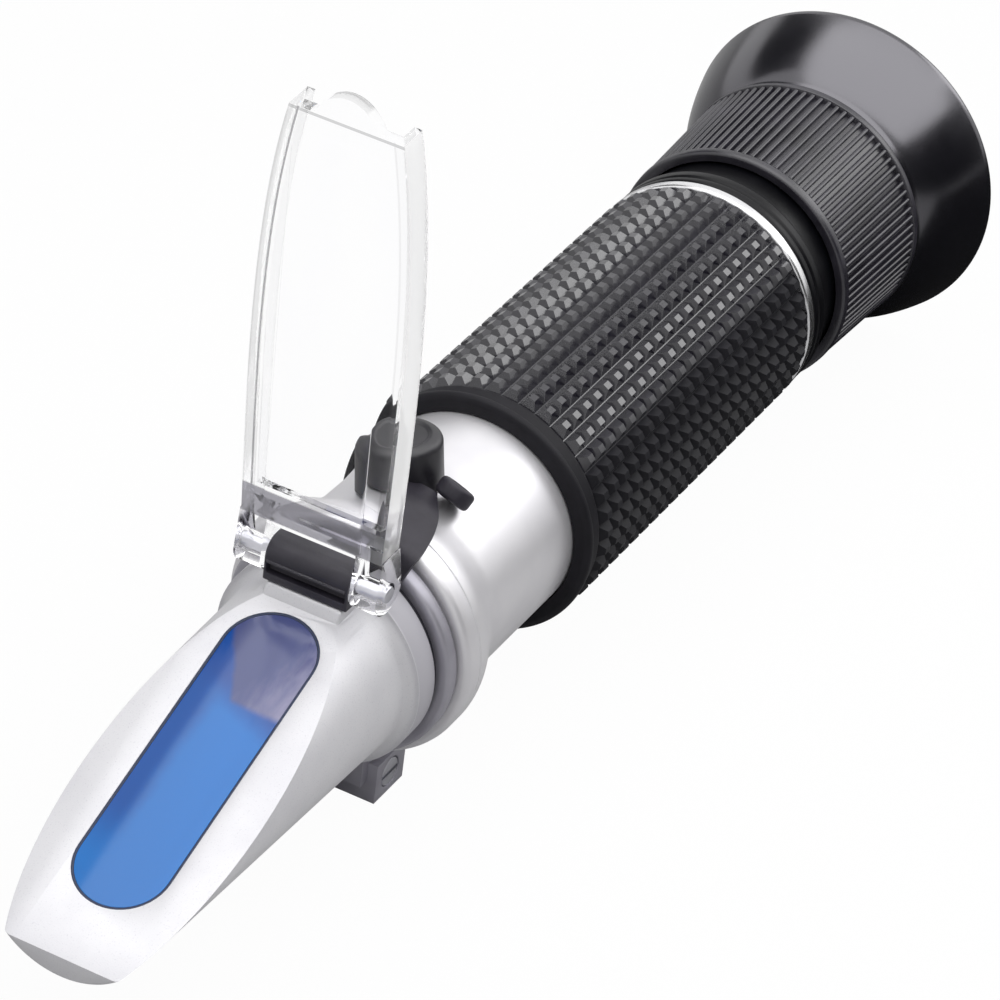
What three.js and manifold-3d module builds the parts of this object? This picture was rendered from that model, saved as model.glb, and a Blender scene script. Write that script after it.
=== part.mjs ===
// Handheld refractometer, open and lying on its clamp foot and its eyecup rim.
// Millimetres, +Z up. X runs along the tube from the nose tip to the eyecup rim, Y across it.
// The origin is under the middle of the instrument, on the surface that it lies on.

import * as THREE from 'three';
import { mergeVertices } from 'three/addons/utils/BufferGeometryUtils.js';
import Module from 'manifold-3d';

const wasm = await Module();
wasm.setup();

// Lengths along the tube, in order from the nose tip to the eyecup rim
const noseLength = 49.2;
const flangeLength = 3.2;
const bandLength = 1.3;
const collarLength = 1.7;
const collarSeam = 0.2;
const bellLength = 2.9;
const flareLength = 7.6;
const bareTubeLength = 16.7;
const gripLength = 54.3;
const trimLength = 1.4;
const rearCollarLength = 3.1;
const sleeveShownLength = 4.0;
const focusLength = 18.7;
const eyecupLength = 11.7;

// Outside radii of the tube and the eyecup, and steps to the other outside radii
const tubeRadius = 12.45;
const eyecupRadius = 20;
const noseRootDrop = 1.45;
const noseTaper = 1.15;
const flangeRise = 1.3;
const bandThickness = 1.1;
const collarThickness = 2.6;
const bellRise = 2.25;
const gripCollarRise = 1.75;
const gripBeadRise = 2.15;
const gripValleyRise = 1.25;
const gripTipRise = 2.3;
const trimRise = 2.65;
const rearCollarRise = 2.05;
const sleeveRise = 1.05;
const skirtWall = 1.2;
const focusFlare = 0.75;
const eyecupRootDrop = 0.55;

// Clearances
const seatGap = 0.15;
const looseGap = 0.2;
const runGap = 0.3;
const sealGap = 0.1;
const filmGap = 0.3;
const overrun = 1;
const toolReach = 40;

// Nose casting: a cone cut by a sloping flat, hollow, with a round-ended window
const tipFaceHeight = 2.55;
const slopeTopDrop = 0.22;
const tipChamfer = 0.4;
const noseWall = 1.6;
const noseFrontWall = 1.8;
const lidThickness = 1.5;
const windowMargin = 4.4;
const windowStart = 6.85;
const windowPadMargin = 1.25;
const spigotLength = 6.6;
const padLength = 5.1;
const padHalfWidth = 5.0;
const padRise = 0.2;

// Prism, its seal and what holds it
const sealWidth = 0.4;
const sealRecess = 0.1;
const prismFrontInset = 3.4;
const prismRearMargin = 0.35;
const prismSideMargin = 3.85;
const prismBottomMargin = 1.65;
const frameThickness = 1.5;
const frameSideMargin = 5.2;
const frameTopMargin = 5.0;
const frameBottomMargin = 4.8;
const frameScrewRadius = 0.8;
const frameScrewMargin = 3.1;
const frameScrewHeadRadius = 1.3;
const frameScrewHeadLength = 0.8;
const stripWidth = 4.0;
const stripThickness = 0.4;
const stripMargin = 1.9;
const stripFootHeight = 2.1;

// Hinge of the cover plate
const blockFrontInset = 0.4;
const blockHeight = 5.2;
const blockCorner = 0.7;
const blockSlotHeight = 0.8;
const blockSlotDepth = 0.8;
const blockSlotRise = 1.0;
const blockSlotHalfWidth = 4.0;
const tenonLength = 2.4;
const tenonHalfWidth = 3.0;
const tenonDrop = 1.7;
const pinInset = 2.7;
const pinRise = 2.6;
const pinRadius = 1.0;
const pinHeadRadius = 1.6;
const pinHeadLength = 0.7;
const pinHeadFlatRadius = 0.96;

// Cover plate, a clear tray on two ears
const restLean = THREE.MathUtils.degToRad(2.5);
const coverLength = 55.5;
const coverStart = 4.4;
const coverRootHalfWidth = 8.5;
const coverEndHalfWidth = 6.5;
const coverBulgeLow = new THREE.Vector2(9.3, 20);
const coverBulgeHigh = new THREE.Vector2(9.9, 40);
const coverThickness = 1.5;
const coverFlangeWidth = 1.1;
const coverFlangeDepth = 3.6;
const coverPadRise = 0.3;
const coverPadHalfWidth = 5.8;
const coverPadStart = 5.0;
const coverPadEnd = 53;
const coverPadCorner = 3.0;
const crossbarHeight = 3.6;
const crossbarDepth = 2.5;
const tabHalfWidth = 3.8;
const tabPull = 3.73;
const earThickness = 3.2;
const earRadius = 3.0;
const earBlend = 5.0;

// Calibration screw and its rubber cap, on a boss of the tube
const calibrationTurn = THREE.MathUtils.degToRad(8);
const calibrationInset = 2.3;
const bossRadius = 2.9;
const bossHeight = 1.25;
const screwRadius = 1.45;
const screwTipRadius = 0.6;
const screwTipLength = 1.0;
const screwHeadDrop = 0.3;
const screwSlotWidth = 0.5;
const screwSlotDepth = 0.8;
const capRadius = 4.3;
const capRise = 4.85;
const capChamfer = 0.7;
const capRoof = 1.6;

// Rubber neck band with its strap and pull ring
const bandClearance = 0.1;
const strapTurn = THREE.MathUtils.degToRad(16);
const strapThickness = 1.5;
const strapRootHalfWidth = 1.6;
const strapMidHalfWidth = 2.9;
const strapEndHalfWidth = 1.2;
const strapMidShare = 0.45;
const strapReach = 13.4;
const pullRingRadius = 2.2;
const pullRingHole = 0.9;
const pullRingThickness = 1.4;
const pullRingTurn = THREE.MathUtils.degToRad(26);

// Clamp collar with its foot lug and cross screw
const collarChamfer = 0.5;
const lugLength = 6.2;
const lugOverlap = 0.4;
const lugHalfWidth = 5.8;
const lugWebHalfWidth = 4.6;
const slitWidth = 0.8;
const clampScrewShare = 0.2;
const clampScrewHeadShare = 0.34;
const clampScrewHeadLength = 1.2;
const clampScrewSlot = 0.5;

// Body tube
const tubeWall = 1.25;
const tubeTail = 4.5;
const bellEdge = 1.0;
const stopInset = 6.4;
const stopLength = 1.4;
const stopWidth = 3.2;

// Objective: cell, lens, rings and spring
const cellSideRoom = 2.0;
const cellWall = 1.4;
const cellLipWidth = 1.0;
const cellLipLength = 1.2;
const cellLength = 13.2;
const objectiveEdge = 1.6;
const objectiveCrown = 1.1;
const objectiveRingLength = 1.2;
const objectiveRingWidth = 1.0;
const cellRingLength = 1.7;
const cellRingOverlap = 0.7;
const springThickness = 0.4;
const springWidth = 4.0;

// Scale disc and its cell
const reticleInset = 7.4;
const reticleCellLength = 5.0;
const reticleWall = 1.1;
const reticleLipWidth = 1.4;
const reticlePocketDepth = 2.2;
const reticleThickness = 1.3;

// Grip
const gripEdge = 0.4;
const gripBeadLength = 1.1;
const gripGroove = 0.3;
const gripPatternInset = 3.6;
const gripRows = 21;
const gripColumns = 40;

// Rear collar with its guide sleeve
const trimChamfer = 0.3;
const rearCollarEdge = 0.5;
const sleeveReach = 7.8;
const guidePinRadius = 1.0;
const guidePinInset = 4.9;

// Focus ring
const focusTravel = 2.5;
const focusEdge = 0.5;
const skirtDepth = 12.0;
const ribCount = 88;
const ribDepth = 0.45;
const ribDrop = 0.1;
const ribFrontInset = 1.1;
const ribRearInset = 1.1;
const spindleRecessInset = 1.4;
const eyecupSeatDrop = 1.6;
const eyecupSeatLength = 3.0;

// Ocular tube with its lenses
const ocularWall = 1.0;
const ocularLipWidth = 1.5;
const ocularLipLength = 1.2;
const ocularLength = 25.7;
const ocularFlangeRise = 1.4;
const ocularFlangeLength = 1.5;
const clipRise = 2.3;
const clipLength = 1.0;
const clipInset = 0.4;
const fieldLensEdge = 1.8;
const fieldLensCrown = 1.6;
const spacerWall = 0.8;
const spacerLength = 13.6;
const eyeLensEdge = 1.6;
const eyeLensCrown = 1.2;
const ocularRingWidth = 1.8;
const ocularRingLength = 1.6;

// Eyecup
const eyecupWall = 1.3;
const eyecupLipBore = 8.8;
const eyecupLipThickness = 1.3;
const eyecupFloorRise = 0.4;
const eyecupFlare = new THREE.Vector2(2.6, 3.0);

// Fineness
const roundSides = 28;
const innerSides = 16;
const smallSides = 12;
const edgeSteps = 2;
const rimSteps = 4;
const curveSteps = 5;
const domeSteps = 2;
const weldDistance = 1e-4;

// Stations along X
const overallLength = noseLength + flangeLength + bandLength + collarLength + collarSeam + bellLength
  + flareLength + bareTubeLength + gripLength + trimLength + rearCollarLength + sleeveShownLength
  + focusLength + eyecupLength;
const tipX = -overallLength / 2;
const flangeX = tipX + noseLength;
const bandX = flangeX + flangeLength;
const collarX = bandX + bandLength;
const bellX = collarX + collarLength + collarSeam;
const flareX = bellX + bellLength;
const tubeX = flareX + flareLength;
const gripX = tubeX + bareTubeLength;
const trimX = gripX + gripLength;
const rearCollarX = trimX + trimLength;
const sleeveX = rearCollarX + rearCollarLength;
const focusX = sleeveX + sleeveShownLength;
const eyecupX = focusX + focusLength;
const rimX = eyecupX + eyecupLength;

// Radii of the barrel, each from the tube that the pieces slide into or over
const tubeBore = tubeRadius - tubeWall;
const noseRootRadius = tubeRadius - noseRootDrop;
const noseTipRadius = noseRootRadius - noseTaper;
const noseBore = noseRootRadius - noseWall;
const flangeRadius = noseRootRadius + flangeRise;
const spigotRadius = tubeBore - runGap;
const bandRadius = spigotRadius + bandThickness;
const collarRadius = spigotRadius + collarThickness;
const bellRadius = tubeRadius + bellRise;
const gripCollarRadius = tubeRadius + gripCollarRise;
const gripBeadRadius = tubeRadius + gripBeadRise;
const gripValleyRadius = tubeRadius + gripValleyRise;
const gripTipRadius = tubeRadius + gripTipRise;
const trimRadius = tubeRadius + trimRise;
const rearCollarRadius = tubeRadius + rearCollarRise;
const sleeveRadius = tubeRadius + sleeveRise;
const capTop = tubeRadius + capRise;

// Radii of the objective and the scale disc
const cellRadius = tubeBore - cellSideRoom;
const cellBore = cellRadius - cellWall;
const cellLipBore = cellBore - cellLipWidth;
const objectiveRadius = cellBore - looseGap;
const objectiveRingBore = objectiveRadius - objectiveRingWidth;
const cellRingBore = cellRadius - cellRingOverlap;
const stopBore = tubeBore - stopWidth;
const reticleCellRadius = tubeBore - runGap;
const reticlePocketRadius = reticleCellRadius - reticleWall;
const reticleRadius = reticlePocketRadius - looseGap;
const reticleBore = reticlePocketRadius - reticleLipWidth;

// Radii of the ocular, the focus ring and the eyecup
const ocularRadius = tubeBore - runGap;
const ocularBore = ocularRadius - ocularWall;
const ocularLipBore = ocularBore - ocularLipWidth;
const ocularFlangeRadius = ocularRadius + ocularFlangeRise;
const clipRadius = ocularRadius + clipRise;
const lensRadius = ocularBore - runGap;
const spacerBore = lensRadius - spacerWall;
const ocularRingBore = lensRadius - ocularRingWidth;
const guidePinTipRadius = ocularBore + looseGap;
const skirtBore = sleeveRadius + runGap;
const focusFrontRadius = skirtBore + skirtWall;
const focusRearRadius = focusFrontRadius + focusFlare;
const spindleRecessBore = ocularFlangeRadius + runGap;
const eyecupRootRadius = focusRearRadius - eyecupRootDrop;
const eyecupSeatRadius = eyecupRootRadius - eyecupSeatDrop;
const eyecupFloorRadius = eyecupSeatRadius + eyecupFloorRise;

// A closed geometry with shared corners, no empty triangles and its faces pointing out
function welded(geometry) {
  const bare = new THREE.BufferGeometry();
  bare.setAttribute('position', geometry.getAttribute('position').clone());
  if (geometry.index) bare.setIndex(geometry.index.clone());
  const merged = mergeVertices(bare, weldDistance);
  const place = merged.getAttribute('position');
  const corners = merged.index.array;
  const kept = [];
  const [a, b, c] = [new THREE.Vector3(), new THREE.Vector3(), new THREE.Vector3()];
  let sixVolumes = 0;
  for (let i = 0; i < corners.length; i += 3) {
    const [p, q, r] = [corners[i], corners[i + 1], corners[i + 2]];
    if (p === q || q === r || r === p) continue;
    kept.push([p, q, r]);
    a.fromBufferAttribute(place, p);
    b.fromBufferAttribute(place, q);
    c.fromBufferAttribute(place, r);
    sixVolumes += a.dot(b.cross(c));
  }
  merged.setIndex(kept.flatMap(([p, q, r]) => (sixVolumes < 0 ? [p, r, q] : [p, q, r])));
  return merged;
}

function solid(geometry) {
  const shell = welded(geometry);
  return new wasm.Manifold(new wasm.Mesh({
    numProp: 3,
    vertProperties: new Float32Array(shell.getAttribute('position').array),
    triVerts: new Uint32Array(shell.index.array),
  }));
}

function geometryOf(body) {
  const mesh = body.getMesh();
  const geometry = new THREE.BufferGeometry();
  geometry.setAttribute('position', new THREE.BufferAttribute(mesh.vertProperties, mesh.numProp));
  geometry.setIndex(new THREE.BufferAttribute(mesh.triVerts, 1));
  return geometry;
}

const join = (first, ...others) => others.reduce((body, other) => body.add(other), first);
const cut = (first, ...tools) => tools.reduce((body, tool) => body.subtract(tool), first);
const common = (first, ...others) => others.reduce((body, other) => body.intersect(other), first);

// A profile of [x, radius] points turned about the X axis
function turnedGeometry(profile, sides = roundSides) {
  const points = profile.map(([x, radius]) => new THREE.Vector2(radius, x));
  const [start, end] = [points[0], points[points.length - 1]];
  if (start.x > 0 || end.x > 0) points.push(start.clone());
  return new THREE.LatheGeometry(points, sides).rotateZ(-Math.PI / 2);
}

const turned = (profile, sides) => solid(turnedGeometry(profile, sides));
const ringProfile = (x0, x1, inner, outer) => [[x0, inner], [x0, outer], [x1, outer], [x1, inner]];
const ring = (x0, x1, inner, outer, sides) => turned(ringProfile(x0, x1, inner, outer), sides);
const disc = (x0, x1, radius, sides) => turned([[x0, 0], [x0, radius], [x1, radius], [x1, 0]], sides);

// An upright cylinder about Z, and one that lies along Y
function upright(z0, z1, radius, sides = smallSides) {
  const geometry = new THREE.CylinderGeometry(radius, radius, z1 - z0, sides);
  return geometry.rotateX(Math.PI / 2).translate(0, 0, (z0 + z1) / 2);
}

function across(y0, y1, radius, x, z, sides = smallSides) {
  const geometry = new THREE.CylinderGeometry(radius, radius, y1 - y0, sides);
  return geometry.translate(x, (y0 + y1) / 2, z);
}

function block(x0, x1, y0, y1, z0, z1) {
  const geometry = new THREE.BoxGeometry(x1 - x0, y1 - y0, z1 - z0);
  return geometry.translate((x0 + x1) / 2, (y0 + y1) / 2, (z0 + z1) / 2);
}

// A flat shape given thickness along Z
function slab(shape, z0, z1) {
  const options = { depth: z1 - z0, bevelEnabled: false, curveSegments: curveSteps };
  return new THREE.ExtrudeGeometry(shape, options).translate(0, 0, z0);
}

// A shape drawn in X and Z, given width along Y on both sides of the middle
function sideSlab(shape, halfWidth) {
  return slab(shape, -halfWidth, halfWidth).rotateX(Math.PI / 2);
}

// A shape drawn in Y and Z, given thickness along X
function frontSlab(shape, x0, x1) {
  const turn = new THREE.Matrix4().makeBasis(
    new THREE.Vector3(0, 1, 0),
    new THREE.Vector3(0, 0, 1),
    new THREE.Vector3(1, 0, 0),
  );
  return slab(shape, x0, x1).applyMatrix4(turn);
}

const sharesOf = (steps) => Array.from({ length: steps + 1 }, (_, i) => i / steps);
const polygon = (points) => new THREE.Shape(points.map(([x, y]) => new THREE.Vector2(x, y)));

// Points of a profile along an arc, angles counted from the X axis
function arc(x, radius, bend, from, to, steps = edgeSteps) {
  return Array.from({ length: steps + 1 }, (_, i) => {
    const angle = from + (to - from) * i / steps;
    return [x + bend * Math.cos(angle), radius + bend * Math.sin(angle)];
  });
}

function stadium(start, end, halfWidth) {
  const shape = new THREE.Shape();
  shape.absarc(end - halfWidth, 0, halfWidth, -Math.PI / 2, Math.PI / 2);
  shape.absarc(start + halfWidth, 0, halfWidth, Math.PI / 2, Math.PI * 3 / 2);
  shape.closePath();
  return shape;
}

// A lens: a cylindrical edge with a domed front and back
function lens(x0, edge, radius, frontCrown, rearCrown) {
  const dome = (x, crown, share) => [x + crown * (1 - share * share), radius * share];
  const shares = sharesOf(domeSteps);
  const front = shares.map((share) => dome(x0, -frontCrown, share));
  const rear = shares.reverse().map((share) => dome(x0 + edge, rearCrown, share));
  return turned([...front, ...rear], innerSides);
}

// A ring of points about the X axis, every other one lower by a dip
function evenRing(x, radius, count, dip = 0) {
  return Array.from({ length: count }, (_, i) => {
    const angle = Math.PI * 2 * i / count;
    const reach = radius - (i % 2) * dip;
    return [x, reach * Math.sin(angle), reach * Math.cos(angle)];
  });
}

// A closed skin through rings of points, from each to the next and from the last to the first.
// A ring may hold a multiple of its neighbour's points.
function loft(rings) {
  const starts = rings.map((_, i) => rings.slice(0, i).reduce((sum, ring) => sum + ring.length, 0));
  const triangles = [];
  rings.forEach((ringA, i) => {
    const next = (i + 1) % rings.length;
    const [countA, countB] = [ringA.length, rings[next].length];
    const count = Math.max(countA, countB);
    const pointA = (k) => starts[i] + Math.floor(k * countA / count) % countA;
    const pointB = (k) => starts[next] + Math.floor(k * countB / count) % countB;
    for (let k = 0; k < count; k += 1) {
      const [a, b, c, d] = [pointA(k), pointB(k), pointB(k + 1), pointA(k + 1)];
      if (b !== c) triangles.push(a, b, c);
      if (a !== d) triangles.push(a, c, d);
    }
  });
  const geometry = new THREE.BufferGeometry();
  geometry.setAttribute('position', new THREE.Float32BufferAttribute(rings.flat(2), 3));
  geometry.setIndex(triangles);
  return geometry;
}

const finish = (color, roughness, metalness, opacity = 1) => new THREE.MeshStandardMaterial({
  color, roughness, metalness, opacity, transparent: opacity < 1,
});

function piece(name, geometry, material) {
  const mesh = new THREE.Mesh(geometry, material);
  mesh.name = name;
  return mesh;
}

// Frame of the sloping flat: its X runs up the flat from the tip edge, its Z points off the flat
const tipEdgeDrop = noseTipRadius - tipFaceHeight;
const slopeRise = tipEdgeDrop + flangeRadius - slopeTopDrop;
const slopeAngle = Math.atan2(slopeRise, noseLength);
const slopePlace = new THREE.Matrix4().makeRotationY(-slopeAngle).setPosition(tipX, 0, -tipEdgeDrop);
const onSlope = (geometry) => geometry.applyMatrix4(slopePlace);
const slopeReach = noseLength / Math.cos(slopeAngle);
const padX = flangeX - padLength;
const padTop = noseRootRadius + padRise;
const windowRearX = padX - windowPadMargin;
const windowEnd = (windowRearX - tipX) / Math.cos(slopeAngle);
const windowHalfWidth = noseTipRadius - windowMargin;
const prismFrontX = tipX + prismFrontInset;
const prismRearX = windowRearX + prismRearMargin;
const pinX = padX + pinInset;
const pinZ = padTop + pinRise;
const pinOverSlope = (pinZ + tipEdgeDrop) * Math.cos(slopeAngle) - (pinX - tipX) * Math.sin(slopeAngle);

// Everything of the nose's inside that is more than a given depth under the flat is left open
function noseCavity(clearance, depth) {
  const rootReach = noseBore - clearance;
  const hollow = turned([
    [tipX + noseFrontWall + clearance, 0],
    [tipX + noseFrontWall + clearance, rootReach - noseTaper],
    [flangeX, rootReach],
    [bandX + spigotLength + overrun, rootReach],
    [bandX + spigotLength + overrun, 0],
  ]);
  const above = onSlope(block(-toolReach, slopeReach, -toolReach, toolReach, -depth, toolReach));
  return cut(hollow, solid(above));
}

function noseHousing() {
  const outside = turned([
    [tipX, 0],
    [tipX, noseTipRadius - tipChamfer],
    [tipX + tipChamfer, noseTipRadius],
    ...arc(flangeX - flangeRise, flangeRadius, flangeRise, -Math.PI / 2, 0),
    [bandX, flangeRadius],
    [bandX, spigotRadius],
    [bandX + spigotLength, spigotRadius],
    [bandX + spigotLength, 0],
  ]);
  const aboveFlat = onSlope(block(-overrun, slopeReach, -toolReach, toolReach, 0, toolReach));
  const pad = block(padX, flangeX + overrun, -padHalfWidth, padHalfWidth, noseBore - overrun, padTop);
  const windowShape = stadium(windowStart, windowEnd, windowHalfWidth);
  const window = onSlope(slab(windowShape, -lidThickness - overrun, overrun));
  const slot = tenon(seatGap, padTop + overrun);
  const seat = block(
    padX, flangeX - runGap + seatGap,
    -padHalfWidth - seatGap, padHalfWidth + seatGap,
    padTop, toolReach,
  );
  return cut(
    join(cut(outside, solid(aboveFlat)), solid(pad)),
    noseCavity(0, lidThickness),
    solid(window),
    solid(slot),
    solid(seat),
  );
}

// The foot under the hinge block, or with a gap round it the slot that it goes through
function tenon(gap, top) {
  const halfLength = tenonLength / 2 + gap;
  const halfWidth = tenonHalfWidth + gap;
  const bottom = padTop - tenonDrop - gap;
  return block(pinX - halfLength, pinX + halfLength, -halfWidth, halfWidth, bottom, top);
}

function windowSeal() {
  const outer = stadium(windowStart + sealGap, windowEnd - sealGap, windowHalfWidth - sealGap);
  const inset = sealGap + sealWidth;
  const inner = stadium(windowStart + inset, windowEnd - inset, windowHalfWidth - inset);
  outer.holes.push(inner);
  return onSlope(slab(outer, -lidThickness, -sealRecess));
}

function mainPrism() {
  const inset = sealGap * 2 + sealWidth;
  const face = stadium(windowStart + inset, windowEnd - inset, windowHalfWidth - inset);
  const depth = lidThickness + seatGap;
  const body = common(
    solid(block(
      prismFrontX, prismRearX,
      prismSideMargin - noseTipRadius, noseTipRadius - prismSideMargin,
      prismBottomMargin + noseTaper - noseBore, slopeRise,
    )),
    noseCavity(runGap, depth),
  );
  return join(body, solid(onSlope(slab(face, -depth - overrun, -sealRecess))));
}

function prismFrame(x0) {
  const aperture = block(
    x0 - overrun, x0 + frameThickness + overrun,
    frameSideMargin - noseBore, noseBore - frameSideMargin,
    frameBottomMargin - noseBore, noseBore - frameTopMargin,
  );
  const holes = [-1, 1].map((side) => {
    const hole = turnedGeometry([
      [x0 - overrun, 0],
      [x0 - overrun, frameScrewRadius + seatGap],
      [x0 + frameThickness + overrun, frameScrewRadius + seatGap],
      [x0 + frameThickness + overrun, 0],
    ], smallSides);
    return solid(hole.translate(0, side * (noseBore - frameScrewMargin), 0));
  });
  const plate = common(
    disc(x0, x0 + frameThickness, noseRootRadius),
    noseCavity(runGap, lidThickness + runGap),
  );
  return cut(plate, solid(aperture), ...holes);
}

function frameScrew(x0, side) {
  const headX = x0 + frameThickness + seatGap;
  return turnedGeometry([
    [x0, 0],
    [x0, frameScrewRadius],
    [headX, frameScrewRadius],
    [headX, frameScrewHeadRadius],
    [headX + frameScrewHeadLength, frameScrewHeadRadius],
    [headX + frameScrewHeadLength, 0],
  ], smallSides).translate(0, side * (noseBore - frameScrewMargin), 0);
}

function bimetalStrip(x0, x1) {
  const top = stripMargin - noseBore;
  const bottom = top - stripThickness;
  const side = polygon([
    [x0, bottom],
    [x1, bottom],
    [x1, top],
    [x0 + stripThickness, top],
    [x0 + stripThickness, top + stripFootHeight],
    [x0, top + stripFootHeight],
  ]);
  return sideSlab(side, stripWidth / 2);
}

function hingeBlock() {
  const [x0, x1] = [padX + blockFrontInset, flangeX - runGap];
  const [z0, z1] = [padTop, padTop + blockHeight];
  const side = polygon([
    [x0, z0],
    [x1, z0],
    ...arc(x1 - blockCorner, z1 - blockCorner, blockCorner, 0, Math.PI / 2),
    ...arc(x0 + blockCorner, z1 - blockCorner, blockCorner, Math.PI / 2, Math.PI),
  ]);
  const slotTop = z0 + blockSlotRise + blockSlotHeight;
  const slot = block(
    x0 - overrun, x0 + blockSlotDepth,
    -blockSlotHalfWidth, blockSlotHalfWidth,
    z0 + blockSlotRise, slotTop,
  );
  const bore = across(-toolReach, toolReach, pinRadius + seatGap, pinX, pinZ);
  return cut(
    join(solid(sideSlab(side, padHalfWidth)), solid(tenon(0, padTop + blockSlotRise / 2))),
    solid(slot),
    solid(bore),
  );
}

const earInner = padHalfWidth + runGap;
const earOuter = earInner + earThickness;

function hingePin() {
  const shank = earOuter + runGap;
  const end = shank + pinHeadLength;
  const profile = [
    [0, -end],
    [pinHeadFlatRadius, -end],
    [pinHeadRadius, -end + pinHeadLength / 2],
    [pinHeadRadius, -shank],
    [pinRadius, -shank],
    [pinRadius, shank],
    [pinHeadRadius, shank],
    [pinHeadRadius, end - pinHeadLength / 2],
    [pinHeadFlatRadius, end],
    [0, end],
  ];
  const points = profile.map(([radius, y]) => new THREE.Vector2(radius, y));
  return new THREE.LatheGeometry(points, smallSides).translate(pinX, 0, pinZ);
}

// Outline of the cover seen from the front, its sides bowed out, drawn up from the hinge
function coverOutline(inset, bottom, top) {
  const side = new THREE.CubicBezierCurve(
    new THREE.Vector2(coverRootHalfWidth - inset, bottom),
    new THREE.Vector2(coverBulgeLow.x - inset, coverBulgeLow.y),
    new THREE.Vector2(coverBulgeHigh.x - inset, coverBulgeHigh.y),
    new THREE.Vector2(coverEndHalfWidth - inset, top),
  );
  const right = side.getPoints(curveSteps * 2);
  const left = right.map((point) => new THREE.Vector2(-point.x, point.y)).reverse();
  return new THREE.Shape([...right, ...left]);
}

function coverTab() {
  const pull = coverLength + tabPull;
  const shape = new THREE.Shape();
  shape.moveTo(-tabHalfWidth, coverLength - coverThickness);
  shape.lineTo(tabHalfWidth, coverLength - coverThickness);
  shape.lineTo(tabHalfWidth, coverLength);
  shape.bezierCurveTo(
    tabHalfWidth / 2, pull,
    -tabHalfWidth / 2, pull,
    -tabHalfWidth, coverLength,
  );
  shape.closePath();
  return shape;
}

function coverPad() {
  const [half, corner] = [coverPadHalfWidth, coverPadCorner];
  const shape = new THREE.Shape();
  shape.moveTo(-half, coverPadStart);
  shape.lineTo(half, coverPadStart);
  shape.absarc(half - corner, coverPadEnd - corner, corner, 0, Math.PI / 2);
  shape.absarc(corner - half, coverPadEnd - corner, corner, Math.PI / 2, Math.PI);
  shape.closePath();
  return shape;
}

// The plate in its own frame: the pin along Y through the origin, the plate up along Z and its
// sample face towards -X, with that face a film's thickness off the flat when the cover is shut
function coverPlate() {
  const face = filmGap - pinOverSlope;
  const front = face + coverPadRise;
  const back = front + coverThickness;
  const flangeBack = front + coverFlangeDepth;
  const web = frontSlab(coverOutline(0, coverStart, coverLength), front, back);
  const inner = coverOutline(coverFlangeWidth, coverStart - overrun, coverLength + overrun);
  const rim = cut(
    solid(frontSlab(coverOutline(0, coverStart, coverLength), front, flangeBack)),
    solid(frontSlab(inner, back, toolReach)),
  );
  const barHalfWidth = coverRootHalfWidth - coverFlangeWidth / 2;
  const bar = block(
    front, front + crossbarDepth,
    -barHalfWidth, barHalfWidth,
    coverStart, coverStart + crossbarHeight,
  );
  const earSide = polygon([
    ...arc(0, 0, earRadius, Math.PI, Math.PI * 2, rimSteps * 2),
    [flangeBack, earBlend],
    [front, earBlend],
  ]);
  const ears = [-1, 1].map((side) => {
    const ear = sideSlab(earSide, earThickness / 2);
    return solid(ear.translate(0, side * (earInner + earOuter) / 2, 0));
  });
  const bore = across(-toolReach, toolReach, pinRadius + runGap, 0, 0);
  return cut(
    join(
      solid(web), rim, solid(bar), ...ears,
      solid(frontSlab(coverTab(), front, back)),
      solid(frontSlab(coverPad(), face, front + coverThickness / 2)),
    ),
    solid(bore),
  );
}

// Outer profile of the bell and flare of the body tube
const blend = (share) => (1 + Math.cos(Math.PI * share)) / 2;
function flareRadiusAt(x) {
  if (x <= flareX) return bellRadius;
  if (x >= tubeX) return tubeRadius;
  return tubeRadius + (bellRadius - tubeRadius) * blend((x - flareX) / flareLength);
}

const flareStations = sharesOf(curveSteps).map((share) => flareX + flareLength * share);
const calibrationX = tubeX + calibrationInset;
const bossTop = tubeRadius + bossHeight;

// Place of what stands on the tube at a turn about its axis, counted towards +Y
const aroundTube = (turn, x) => new THREE.Matrix4().makeRotationX(-turn).setPosition(x, 0, 0);

function bodyTube() {
  const tailX = rearCollarX + tubeTail;
  const stopX = gripX - stopInset + stopLength;
  const shell = turned([
    [bellX, tubeBore],
    ...arc(bellX + bellEdge, bellRadius - bellEdge, bellEdge, Math.PI, Math.PI / 2),
    ...flareStations.map((x) => [x, flareRadiusAt(x)]),
    [tailX, tubeRadius],
    [tailX, tubeBore],
    [stopX, tubeBore],
    [stopX, stopBore],
    [stopX - stopLength, stopBore],
    [stopX - stopLength, tubeBore],
  ]);
  const place = aroundTube(calibrationTurn, calibrationX);
  const boss = upright(tubeBore + bossHeight / 2, bossTop, bossRadius).applyMatrix4(place);
  const bore = upright(cellRadius, bossTop + overrun, screwRadius + runGap).applyMatrix4(place);
  return cut(join(shell, solid(boss)), solid(bore));
}

function calibrationScrew() {
  const top = bossTop - screwHeadDrop;
  const tip = cellRadius + runGap;
  const profile = [
    [0, tip],
    [screwTipRadius, tip],
    [screwRadius, tip + screwTipLength],
    [screwRadius, top],
    [0, top],
  ];
  const points = profile.map(([radius, z]) => new THREE.Vector2(radius, z));
  const shank = new THREE.LatheGeometry(points, smallSides).rotateX(Math.PI / 2);
  const slot = block(
    -screwRadius - overrun, screwRadius + overrun,
    -screwSlotWidth / 2, screwSlotWidth / 2,
    top - screwSlotDepth, top + overrun,
  );
  return cut(solid(shank), solid(slot));
}

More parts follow.
